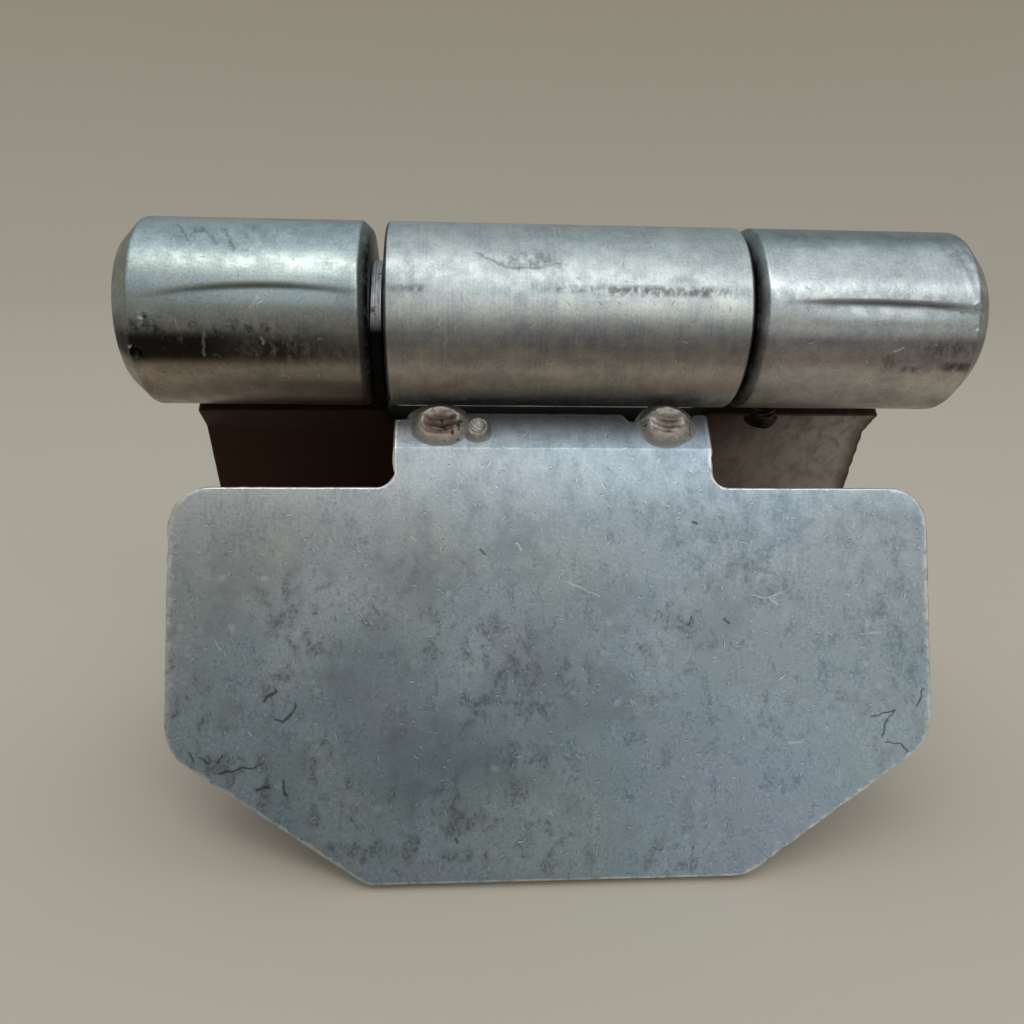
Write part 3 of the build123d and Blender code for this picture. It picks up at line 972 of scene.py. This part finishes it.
def makeFrontMaterial(name, look):
    material, tree, shader = newMaterial(name)
    place = placeIn(tree, -1, leaf["lean"])
    parts = partsOf(tree, place)
    flat = joinOf(tree, parts["X"], parts["Z"])
    zinc = useGroup(tree, plateTexture, Flat=flat)
    colour = shadeTones(tree, flat, zinc, look)
    large = useGroup(tree, chips, Flat=flat, CellSize=3.6, Length=0.55, Width=0.11, Share=0.3)
    small = useGroup(tree, chips, Flat=flat, Shift=(7.7, 3.1, 0), CellSize=1.6, Length=0.28, Width=0.13, Share=0.5)
    spots = useGroup(tree, chips, Flat=flat, Shift=(1.7, 9.1, 0), CellSize=5.0, Length=0.75, Width=0.6, Share=0.55)["Light"]
    shake = vectorOf(tree, "SUBTRACT", noiseOf(tree, flat, 0.7, 1, 0.5, output="Color", flat=True), (0.5, 0.5, 0.5))
    shaken = vectorOf(tree, "ADD", flat, vectorOf(tree, "SCALE", vectorOf(tree, "MULTIPLY", shake, (1, 1, 0)), scale=0.7))
    dark = strokeMasks(tree, shaken, look["strokes"])
    light = strokeMasks(tree, shaken, look["lightStrokes"])
    edge = useGroup(tree, edgeWearAndShade, Place=place, Worn=attributeOf(tree, "roundedEdge"))["Mask"]
    colour = mixOf(tree, cloudMask(tree, flat, zinc, look["darkClouds"]), colour, look["cloud"])
    colour = mixOf(tree, mathOf(tree, "MULTIPLY", spots, 0.42), colour, look["spot"])
    colour = mixOf(tree, mathOf(tree, "MULTIPLY", mostOf(tree, large["Dark"], small["Dark"]), 0.45), colour, look["mark"])
    bright = mostOf(tree, mathOf(tree, "MULTIPLY", large["Light"], 0.8), mathOf(tree, "MULTIPLY", small["Light"], 0.6),
                    mathOf(tree, "MULTIPLY", light, 0.55), mathOf(tree, "MULTIPLY", edge, 0.9))
    colour = mixOf(tree, bright, colour, look["bare"])
    colour = mixOf(tree, mathOf(tree, "MULTIPLY", dark, 0.76), colour, look["mark"])
    # painted light and shade: the leaf's lower part darker on the left and lighter and bluer on the right
    paintedFalloff = rangeOf(tree, parts["Z"], -30.0, -66.0)
    paintedFalloffTint = mixOf(tree, rangeOf(tree, parts["X"], -35.0, 45.0), look["paintedShadeLowLeft"], look["paintedLightLowRight"])
    colour = mixOf(tree, paintedFalloff, colour, mixOf(tree, 1.0, colour, paintedFalloffTint, "MULTIPLY"))
    paintedTabShade = rangeOf(tree, parts["Z"], -leaf["bend"] - 0.15, -leaf["bend"] + 0.15)
    # painted sheen: the neck just below the bend made lighter, except on the tab
    neckSheen = mathOf(tree, "MULTIPLY", rangeOf(tree, parts["Z"], -30.0, -20.5), mathOf(tree, "SUBTRACT", 1.0, paintedTabShade))
    colour = mixOf(tree, neckSheen, colour, vectorOf(tree, "SCALE", colour, scale=look["paintedNeckSheen"]))
    # painted shade on the tab above the bend, under the knuckle, darker towards the tab's end
    paintedTabShadeRise = rangeOf(tree, parts["Z"], -leaf["bend"] - 0.8, -leaf["tabEnd"] - 0.6, 0.0, 1.0)
    inner = attributeOf(tree, "inner")
    colour = mixOf(tree, mathOf(tree, "MULTIPLY", paintedTabShade, paintedTabShadeRise), colour,
                   mixOf(tree, 1.0, colour, look["paintedTabShade"], "MULTIPLY"))
    colour = mixOf(tree, mathOf(tree, "MULTIPLY", inner, 0.35), colour, look["blotch"])
    feed(tree, shader.inputs["Base Color"], colour)
    shader.inputs["Metallic"].default_value = 1.0
    rough = rangeOf(tree, zinc["Clouds"], 0.35, 0.65, 0.54, 0.46)
    feed(tree, shader.inputs["Roughness"], mathOf(tree, "SUBTRACT", rough, mathOf(tree, "MULTIPLY", bright, 0.15)))
    addBump(tree, shader, sumOf(tree, (zinc["Grain"], 0.5), (large["Dark"], -0.7)), 0.00004)
    return material


# colours for the rear leaf's inner side: painted shade with a warm painted reflection, and a painted shadow under the
# pin
rearZincAndShade = {
    "shadowBlack": (0.004, 0.0035, 0.003),
    "innerShade": (0.045, 0.024, 0.017),
    "innerShadeLight": (0.27, 0.22, 0.195),
    "innerShadeGrey": (0.42, 0.385, 0.36),
    "innerShadeFadeFrom": 26.0,
    "innerShadeFadeTo": 47.0,
}


def makeRearMaterial(name, look, innerShade):
    # plated outside; its inner side is given a painted shade with a warm painted reflection, lighter towards the right
    # and lower down
    material, tree, shader = newMaterial(name)
    place = placeIn(tree, 1, leaf["lean"])
    parts = partsOf(tree, place)
    flat = joinOf(tree, parts["X"], parts["Z"])
    zinc = useGroup(tree, plateTexture, Flat=flat)
    colour = shadeTones(tree, flat, zinc, look)
    large = useGroup(tree, chips, Flat=flat, CellSize=3.6, Length=0.55, Width=0.11, Share=0.3)
    small = useGroup(tree, chips, Flat=flat, Shift=(7.7, 3.1, 0), CellSize=1.6, Length=0.28, Width=0.13, Share=0.5)
    colour = mixOf(tree, mathOf(tree, "MULTIPLY", mostOf(tree, large["Dark"], small["Dark"]), 0.45), colour, look["mark"])
    bright = mostOf(tree, mathOf(tree, "MULTIPLY", large["Light"], 0.75), mathOf(tree, "MULTIPLY", small["Light"], 0.6))
    colour = mixOf(tree, bright, colour, look["bare"])
    inner = attributeOf(tree, "inner")
    # painted light: the inner side's painted shade lifts towards the right and lower down
    lessInnerShade = mathOf(tree, "MULTIPLY", rangeOf(tree, parts["X"], 10.0, 34.0), rangeOf(tree, parts["Z"], -15.0, -26.0, 0.15, 1.0))
    lessInnerShade = mathOf(tree, "MULTIPLY", lessInnerShade, rangeOf(tree, zinc["Clouds"], 0.35, 0.62, 0.82, 1.0))
    leastInnerShade = mathOf(tree, "MULTIPLY", rangeOf(tree, parts["X"], innerShade["innerShadeFadeFrom"], innerShade["innerShadeFadeTo"]),
                       rangeOf(tree, zinc["Clouds"], 0.3, 0.6, 0.45, 0.95))
    innerShadeColour = mixOf(tree, leastInnerShade, mixOf(tree, lessInnerShade, innerShade["innerShade"], innerShade["innerShadeLight"]), innerShade["innerShadeGrey"])
    innerShadeColour = mixOf(tree, mathOf(tree, "MULTIPLY", zinc["Blotch"], 0.2), innerShadeColour, innerShade["innerShade"])
    # painted shadow under the middle knuckle, and painted shade along the inner side's rounded edges
    shadowUnderPin = mathOf(tree, "MULTIPLY", rangeOf(tree, parts["Z"], -20.5, -18.0),
                      rangeOf(tree, mathOf(tree, "ABSOLUTE", parts["X"]), 26.0, 23.5))
    innerShadeColour = mixOf(tree, mathOf(tree, "MULTIPLY", attributeOf(tree, "roundedEdge"), 0.85), innerShadeColour, innerShade["innerShade"])
    innerShadeColour = mixOf(tree, shadowUnderPin, innerShadeColour, innerShade["shadowBlack"])
    colour = mixOf(tree, inner, colour, innerShadeColour)
    feed(tree, shader.inputs["Base Color"], colour)
    feed(tree, shader.inputs["Metallic"], mathOf(tree, "SUBTRACT", rangeOf(tree, inner, 0.0, 1.0, 1.0, 0.7),
                                                 mathOf(tree, "MULTIPLY", shadowUnderPin, 0.7)))
    shader.inputs["Specular IOR Level"].default_value = 0.08
    feed(tree, shader.inputs["Roughness"], rangeOf(tree, zinc["Clouds"], 0.35, 0.65, 0.54, 0.46))
    addBump(tree, shader, sumOf(tree, (zinc["Grain"], 0.5), (large["Dark"], -0.7)), 0.00004)
    return material


knuckleZinc = {
    "tones": [(0.2, (0.44, 0.475, 0.49)), (0.5, (0.56, 0.60, 0.61)), (0.8, (0.68, 0.715, 0.715))],
    "gold": (0.72, 0.745, 0.62),
    "bare": (0.84, 0.85, 0.84),
    "grime": (0.014, 0.012, 0.011),
    # pit also colours painted shade in the crease and on the rounded edges
    "pit": (0.12, 0.13, 0.13),
}
skins = {
    "sleeveSkin": {
        "lines": 0.2,
        "greaseAndShadeColour": (0.012, 0.011, 0.010),
        "greaseAndShadeOutside": 0.9,
        "roughness": (0.48, 0.40),
        "stains": [
            (4.0, 22.0, 4.0, 18.5, 24.5, 2.0, 0.48, 0.62), (-3.0, 8.0, 4.0, 20.0, 24.0, 2.0, 0.54, 0.5),
            (-9.0, 0.0, 3.0, 34.0, 46.0, 4.0, 0.56, 0.45), (-22.4, -17.6, 1.0, 19.0, 23.0, 2.0, 0.46, 0.5),
            (-23.0, 24.0, 2.0, -70.0, -50.0, 7.0, 0.45, 0.4),
        ],
        "strokes": [((-11.5, 45.0), (-7.5, 34.5), 0.22, 0.4), ((-7.5, 34.5), (-4.0, 34.5), 0.25, 0.4), ((-4.0, 34.5), (-0.5, 39.0), 0.2, 0.3),
                    ((-15.5, 20.0), (-15.4, -14.0), 0.16, -0.15), ((-15.8, 4.0), (-16.4, 1.0), 0.2, -0.4)],
        "paintedLightBands": [(-180, (1.0, 1.0, 1.0)), (-75, (0.6, 0.58, 0.55)), (-52, (0.95, 0.88, 0.85)), (-44, (0.80, 0.66, 0.58)),
                  (-36, (0.80, 0.61, 0.53)), (-28, (0.76, 0.65, 0.57)), (-20, (0.48, 0.41, 0.38)), (-12, (0.34, 0.31, 0.31)),
                  (-5, (0.42, 0.41, 0.45)), (1, (0.68, 0.70, 0.76)), (8, (1.26, 1.29, 1.3)), (13, (1.29, 1.3, 1.3)),
                  (20, (1.04, 1.08, 1.08)), (27, (1.0, 1.0, 1.0)), (42, (1.02, 1.0, 0.98)), (62, (0.80, 0.82, 0.80)), (180, (1.0, 1.0, 1.0))],
    },
    "leftSkin": {
        "lines": 0.10,
        "greaseAndShadeColour": (0.006, 0.005, 0.005),
        "greaseAndShadeOutside": 0.72,
        "roughness": (0.37, 0.28),
        "stains": [
            (-60.0, -40.0, 7.0, -23.5, -6.0, 4.0, 0.36, 0.97), (-50.0, -31.0, 6.0, -23.0, -8.0, 5.0, 0.47, 0.85),
            (-40.0, -26.0, 4.0, -22.0, -12.0, 4.0, 0.56, 0.6), (-56.0, -40.0, 5.0, -9.0, 0.0, 5.0, 0.56, 0.5),
            (-50.0, -38.0, 3.0, 42.0, 68.0, 6.0, 0.60, 0.35), (-57.0, -34.0, 6.0, -24.0, 2.0, 6.0, 0.60, 0.8),
        ],
        "strokes": [
            ((-49.5, 66.0), (-47.5, 50.0), 0.25, 0.35), ((-46.5, 64.0), (-44.0, 48.0), 0.3, 0.3),
            ((-43.6, 62.0), (-41.8, 44.0), 0.25, 0.35), ((-45.5, -5.0), (-45.9, -20.0), 0.2, -0.16), ((-52.9, 3.0), (-52.6, 3.2), 0.3, 0.75), ((-54.3, -18.9), (-54.1, -18.6), 0.35, 0.8),
            # a painted highlight on the rim of the lower pit
            ((-55.1, -15.4), (-54.7, -13.9), 0.16, -0.5),
            ((-38.4, -8.0), (-38.3, -12.0), 0.2, -0.25), ((-39.6, 9.0), (-38.6, 15.0), 0.22, -0.5), ((-38.8, 9.0), (-38.2, 13.0), 0.16, -0.7),
        ],
        "paintedLightBands": [(-180, (1.0, 1.0, 1.0)), (-75, (0.5, 0.41, 0.35)), (-52, (0.44, 0.33, 0.28)), (-44, (0.46, 0.37, 0.31)),
                  (-36, (0.60, 0.47, 0.39)), (-29, (0.50, 0.42, 0.35)), (-22, (0.26, 0.22, 0.19)), (-14, (0.17, 0.155, 0.15)),
                  (-7, (0.22, 0.21, 0.20)), (-1, (0.42, 0.41, 0.42)), (5, (0.66, 0.68, 0.72)), (12, (0.84, 0.93, 0.95)),
                  (24, (0.92, 0.97, 0.97)), (31, (0.90, 0.94, 0.88)), (37, (0.92, 0.96, 0.89)), (44, (0.92, 0.97, 0.97)), (62, (0.74, 0.83, 0.84)),
                  (180, (1.0, 1.0, 1.0))],
    },
    "rightSkin": {
        "lines": 0.12,
        "greaseAndShadeColour": (0.02, 0.018, 0.017),
        "greaseAndShadeOutside": 0.35,
        "roughness": (0.43, 0.34),
        "stains": [
            (51.0, 55.5, 1.2, -25.0, -19.0, 2.5, 0.46, 0.75), (44.0, 49.0, 2.0, -26.5, -22.5, 2.0, 0.52, 0.55),
            (42.6, 44.4, 0.7, -24.0, -14.0, 4.0, 0.50, 0.45), (47.0, 56.0, 3.0, -16.0, -4.0, 5.0, 0.56, 0.5),
            (50.0, 55.5, 1.5, 36.0, 60.0, 8.0, 0.55, 0.35),
        ],
        "strokes": [
            ((48.0, 15.4), (54.5, 11.0), 0.26, 0.4), ((44.0, -12.0), (45.0, -10.0), 0.15, -0.5), ((49.0, 3.0), (50.0, 6.0), 0.14, -0.6),
        ],
        "paintedLightBands": [(-180, (1.0, 1.0, 1.0)), (-75, (0.5, 0.45, 0.42)), (-55, (0.56, 0.49, 0.45)), (-42, (0.78, 0.70, 0.66)),
                  (-36, (0.86, 0.76, 0.71)), (-27, (0.76, 0.66, 0.64)), (-18, (0.48, 0.39, 0.39)), (-11, (0.44, 0.40, 0.42)),
                  (-6, (0.41, 0.38, 0.44)), (1, (0.94, 0.96, 1.05)), (9, (1.0, 1.05, 1.1)), (17, (0.78, 0.8, 0.83)),
                  (22, (0.88, 0.89, 0.90)), (27.5, (1.26, 1.27, 1.28)), (33, (1.06, 1.04, 1.05)), (42, (1.12, 1.11, 1.11)),
                  (52, (1.02, 1.02, 1.0)), (59, (0.70, 0.74, 0.74)),
                  (67, (0.44, 0.49, 0.49)), (180, (1.0, 1.0, 1.0))],
    },
}


def makeKnuckleMaterial(name, skin, look):
    # the bands are painted light, shade and reflection by the angle round the pin, and a stroke's last number is its
    # share, dark or (below 0) light
    material, tree, shader = newMaterial(name)
    place = placeIn(tree, 1, 0)
    around = useGroup(tree, roundPin, Place=place)
    zinc = useGroup(tree, zincTexture, Place=place, PatchSize=8.0, CloudSize=1.9, GrainSize=0.3)
    lines = useGroup(tree, turnedLines, Place=place)["Lines"]
    tone = sumOf(tree, (zinc["Patches"], 0.3), (zinc["Clouds"], 0.35 - skin["lines"] / 2), (lines, skin["lines"]),
                 (zinc["Grain"], 0.35 - skin["lines"] / 2))
    colour = rampOf(tree, tone, look["tones"])
    colour = mixOf(tree, mathOf(tree, "MULTIPLY", rangeOf(tree, zinc["Clouds"], 0.6, 1.0), 0.2), colour, look["gold"])
    # painted light, shade and reflection round the pin: brighter where the overhead highlight falls, darker and warmer
    # lower down
    turnShare = mathOf(tree, "DIVIDE", mathOf(tree, "ADD", around["Degrees"], 180.0), 360.0)
    brightest = 1.3
    shade = rampOf(tree, turnShare, [((degrees + 180) / 360, tuple(part / brightest for part in tint))
                                     for degrees, tint in skin["paintedLightBands"]])
    radius = vectorOf(tree, "LENGTH", vectorOf(tree, "MULTIPLY", place, (0.0, 1.0, 1.0)))
    onSide = rangeOf(tree, radius, barrelRadius - 3.6, barrelRadius - 1.6)
    colour = mixOf(tree, onSide, colour, mixOf(tree, 1.0, colour, vectorOf(tree, "SCALE", shade, scale=brightest), "MULTIPLY"))
    marks = useGroup(tree, chips, Flat=around["Unrolled"], CellSize=2.6, Length=0.5, Width=0.13, Share=0.4)
    edge = useGroup(tree, edgeWearAndShade, Place=place, Worn=attributeOf(tree, "roundedEdge"))["Mask"]
    greaseAndShade = attributeOf(tree, "greaseAndShade")
    broken = noiseOf(tree, vectorOf(tree, "MULTIPLY", place, (0.9, 0.6, 0.6)), 1.0, 3, 0.7, 0.2)
    masks = []
    for left, right, softAlong, below, above, softRound, opening, strength in skin["stains"]:
        masks.append(useGroup(tree, stain, Along=around["Along"], Degrees=around["Degrees"], Left=left, Right=right,
                              SoftAlong=softAlong, Below=below, Above=above, SoftRound=softRound, Broken=broken,
                              Open=opening, Strength=strength)["Mask"])
    dirt = mostOf(tree, *masks)
    shake = vectorOf(tree, "SUBTRACT", noiseOf(tree, place, 1.2, 1, 0.6, output="Color"), (0.5, 0.5, 0.5))
    shaken = vectorOf(tree, "ADD", around["Unrolled"], vectorOf(tree, "SCALE", vectorOf(tree, "MULTIPLY", shake, (1, 1, 0)), scale=0.8))
    darkLines, lightLines = [], []
    for start, end, width, share in skin["strokes"]:
        ends = [(along, math.radians(angle) * barrelRadius, 0) for along, angle in (start, end)]
        mask = useGroup(tree, stroke, Flat=shaken, Start=ends[0], End=ends[1], Width=width)["Mask"]
        (darkLines if share > 0 else lightLines).append(mathOf(tree, "MULTIPLY", mask, abs(share)))
    colour = mixOf(tree, mathOf(tree, "MULTIPLY", marks["Dark"], 0.5), colour, look["pit"])
    colour = mixOf(tree, mathOf(tree, "MULTIPLY", marks["Light"], 0.3), colour, look["bare"])
    # painted shade on the rounded edges of the ends
    colour = mixOf(tree, mathOf(tree, "MULTIPLY", edge, 0.35), colour, look["pit"])
    colour = mixOf(tree, mostOf(tree, *darkLines), colour, look["grime"])
    colour = mixOf(tree, dirt, colour, look["grime"])
    colour = mixOf(tree, mostOf(tree, *lightLines), colour, look["bare"])
    # painted shade along the bottom of the crease
    crease = rangeOf(tree, attributeOf(tree, "crease"), 0.05, 0.9, 0.0, 0.9)
    colour = mixOf(tree, crease, colour, look["pit"])
    # grease and painted shade on the faces that look into a gap, less towards the outside and the top
    outwards = rangeOf(tree, radius, barrelRadius - 1.1, barrelRadius - 0.1, 1.0, skin["greaseAndShadeOutside"])
    upwards = rangeOf(tree, around["Degrees"], 72.0, 40.0, skin["greaseAndShadeOutside"], 1.0)
    greaseAndShade = mathOf(tree, "MULTIPLY", greaseAndShade, mathOf(tree, "MULTIPLY", outwards, upwards))
    colour = mixOf(tree, mathOf(tree, "MULTIPLY", greaseAndShade, rangeOf(tree, broken, 0.36, 0.5, 0.88, 1.0)), colour, skin["greaseAndShadeColour"])
    feed(tree, shader.inputs["Base Color"], colour)
    feed(tree, shader.inputs["Metallic"], mathOf(tree, "SUBTRACT", 1.0, mathOf(tree, "MULTIPLY", greaseAndShade, 0.9)))
    shader.inputs["Specular IOR Level"].default_value = 0.08
    rough = rangeOf(tree, zinc["Clouds"], 0.0, 1.0, *skin["roughness"])
    feed(tree, shader.inputs["Roughness"], mathOf(tree, "ADD", rough, mathOf(tree, "MULTIPLY", dirt, 0.15)))
    addBump(tree, shader, sumOf(tree, (lines, skin["lines"]), (zinc["Grain"], 0.35), (marks["Dark"], -0.8)), 0.000012)
    return material


weldMetal = {
    "toe": (0.33, 0.335, 0.33),
    "rim": (0.60, 0.56, 0.53),
    "middle": (0.32, 0.26, 0.23),
    "heart": (0.15, 0.105, 0.085),
    "pit": (0.02, 0.016, 0.014),
}
# the inner tack sits in the shade inside the V, so its very dark colours are a painted shade
innerTackShade = {
    "toe": (0.015, 0.009, 0.007),
    "rim": (0.03, 0.02, 0.016),
    "middle": (0.08, 0.06, 0.05),
    "heart": (0.02, 0.013, 0.01),
    "pit": (0.004, 0.003, 0.003),
}


def makeWeldMaterial(name, look):
    material, tree, shader = newMaterial(name)
    place = placeIn(tree, 1, 0)
    zinc = useGroup(tree, zincTexture, Place=place, PatchSize=3.0, CloudSize=0.9, GrainSize=0.25)
    amount = sumOf(tree, (attributeOf(tree, "heart"), 1.0), (mathOf(tree, "SUBTRACT", zinc["Clouds"], 0.5), 0.16))
    colour = rampOf(tree, amount, [(0.03, look["toe"]), (0.24, look["rim"]), (0.34, look["rim"]), (0.46, look["middle"]),
                                   (0.66, look["heart"])])
    pits = rangeOf(tree, mathOf(tree, "MULTIPLY", zinc["Patches"], zinc["Clouds"]), 0.72, 0.85)
    colour = mixOf(tree, mathOf(tree, "MULTIPLY", pits, 0.8), colour, look["pit"])
    feed(tree, shader.inputs["Base Color"], colour)
    shader.inputs["Metallic"].default_value = 0.85
    feed(tree, shader.inputs["Roughness"], rangeOf(tree, zinc["Clouds"], 0.0, 1.0, 0.56, 0.46))
    addBump(tree, shader, sumOf(tree, (zinc["Grain"], 0.5), (pits, -1.0)), 0.00003)
    return material


smallSteel = {
    "ringSteel": {"clean": (0.70, 0.71, 0.73), "greaseAndShade": (0.006, 0.005, 0.0045), "open": 0.34, "top": 1.0, "bottom": -1.5},
    "pinSteel": {"clean": (0.32, 0.31, 0.30), "greaseAndShade": (0.014, 0.012, 0.010), "open": 0.42, "top": 3.0, "bottom": -1.0},
}


def makeGreaseAndShadeMaterial(name, look):
    material, tree, shader = newMaterial(name)
    place = placeIn(tree, 1, 0)
    zinc = useGroup(tree, zincTexture, Place=place, PatchSize=3.0, CloudSize=1.2, GrainSize=0.2)
    lines = useGroup(tree, turnedLines, Place=place)["Lines"]
    greaseAndShade = rangeOf(tree, noiseOf(tree, place, 0.35, 3, 0.6), look["open"] + 0.08, look["open"] - 0.08)
    # painted shade on the lower part, darker downwards, joined to the grease patches
    greaseAndShade = mostOf(tree, greaseAndShade, rangeOf(tree, partsOf(tree, place)["Z"], look["top"], look["bottom"]))
    colour = mixOf(tree, mathOf(tree, "MULTIPLY", zinc["Clouds"], 0.2), look["clean"], look["greaseAndShade"])
    colour = mixOf(tree, greaseAndShade, colour, look["greaseAndShade"])
    feed(tree, shader.inputs["Base Color"], colour)
    feed(tree, shader.inputs["Metallic"], mathOf(tree, "SUBTRACT", 1.0, greaseAndShade))
    shader.inputs["Specular IOR Level"].default_value = 0.05
    feed(tree, shader.inputs["Roughness"], rangeOf(tree, zinc["Grain"], 0.0, 1.0, 0.34, 0.48))
    addBump(tree, shader, sumOf(tree, (lines, 1.0), (zinc["Clouds"], 1.0)), 0.00004)
    return material


def dress(piece, material):
    piece.data.materials.clear()
    piece.data.materials.append(material)


dress(frontPlate, makeFrontMaterial("frontZinc", leafZinc))
dress(rearPlate, makeRearMaterial("rearZincAndShade", leafZinc, rearZincAndShade))
for piece, skinName in zip([middleSleeve, *caps], ("sleeveSkin", "leftSkin", "rightSkin")):
    dress(piece, makeKnuckleMaterial(skinName, skins[skinName], knuckleZinc))
tackSteel = makeWeldMaterial("tackSteel", weldMetal)
for tack in tacks[:-1]:
    dress(tack, tackSteel)
dress(tacks[-1], makeWeldMaterial("innerTackShadeSteel", innerTackShade))
dress(leftRing, makeGreaseAndShadeMaterial("ringSteel", smallSteel["ringSteel"]))
dress(pinBar, makeGreaseAndShadeMaterial("pinSteel", smallSteel["pinSteel"]))
print("materials done")

# Stage: one pale bowl of floor and backdrop, a long soft light overhead and a soft sky

stage = {"reach": 1.7, "sweep": 0.7, "top": 0.8, "steps": 96, "colour": (0.70, 0.612, 0.50)}


def makeSweep():
    bm = bmesh.new()
    section = roundCorners([(0, 0, 0), (stage["reach"], 0, stage["sweep"]), (stage["reach"], stage["top"], 0)], False, 6.0)
    line = [bm.verts.new((out, 0, up)) for out, up in section]
    edges = [bm.edges.new(pair) for pair in zip(line, line[1:])]
    bmesh.ops.spin(bm, geom=line + edges, cent=(0, 0, 0), axis=(0, 0, 1), angle=math.tau, steps=stage["steps"], use_merge=True)
    bmesh.ops.remove_doubles(bm, verts=bm.verts[:], dist=1e-5)
    bmesh.ops.recalc_face_normals(bm, faces=bm.faces[:])
    for face in bm.faces:
        face.smooth = True
    mesh = bpy.data.meshes.new("sweep")
    bm.to_mesh(mesh)
    bm.free()
    sweep = bpy.data.objects.new("sweep", mesh)
    bpy.context.scene.collection.objects.link(sweep)
    material, tree, shader = newMaterial("paleFloor")
    shader.inputs["Base Color"].default_value = (*stage["colour"], 1)
    shader.inputs["Roughness"].default_value = 0.7
    dress(sweep, material)


lights = {
    "keyLight": {"at": (0.07, -0.503, 0.832), "along": (0.76, -0.46, -0.456), "size": (1.15, 0.28), "power": 1.75,
                 "colour": (1.0, 1.0, 0.97)},
    "frontLight": {"at": (0.367, -0.909, 0.571), "along": (1, 0.4, 0), "size": (0.9, 0.42), "power": 0.62,
                   "colour": (0.98, 1.0, 1.0)},
}


def addLight(name, look):
    data = bpy.data.lights.new(name, "AREA")
    data.shape = "RECTANGLE"
    data.size, data.size_y = look["size"]
    data.energy = look["power"]
    data.color = look["colour"]
    light = bpy.data.objects.new(name, data)
    away = (Vector(look["at"]) - Vector((0, 0, axisHeight * mm))).normalized()
    over = away.cross(Vector(look["along"])).normalized()
    columns = Matrix((over.cross(away), over, away)).transposed()
    light.rotation_euler = columns.to_euler()
    light.location = look["at"]
    light.visible_camera = False
    bpy.context.scene.collection.objects.link(light)


sky = {"low": (0.28, 0.29, 0.295), "rise": (0.42, 0.46, 0.48), "high": (0.66, 0.74, 0.78), "strength": 1.0}


def makeSky():
    world = bpy.data.worlds.new("softSky")
    world.use_nodes = True
    bpy.context.scene.world = world
    tree = world.node_tree
    coordinates = tree.nodes.new("ShaderNodeTexCoord")
    height = partsOf(tree, coordinates.outputs["Generated"])["Z"]
    colour = rampOf(tree, height, [(0.0, sky["low"]), (0.35, sky["low"]), (0.7, sky["rise"]), (0.95, sky["high"])])
    background = tree.nodes["Background"]
    tree.links.new(colour, background.inputs["Color"])
    background.inputs["Strength"].default_value = sky["strength"]


camera = {
    "at": (-13.734, -123.833, axisHeight + 12.204),
    "turn": (71.613, -1.139, -3.385),
    "lens": 30.302,
    "sensor": 36.0,
}


def makeCamera():
    data = bpy.data.cameras.new("photoView")
    data.lens = camera["lens"]
    data.sensor_width = camera["sensor"]
    data.clip_start = 0.005
    data.clip_end = 20.0
    view = bpy.data.objects.new("photoView", data)
    view.location = Vector(camera["at"]) * mm
    view.rotation_euler = [math.radians(angle) for angle in camera["turn"]]
    bpy.context.scene.collection.objects.link(view)
    bpy.context.scene.camera = view


makeSweep()
for name, look in lights.items():
    addLight(name, look)
makeSky()
makeCamera()
bpy.context.scene.view_settings.view_transform = "Standard"
print("stage done")
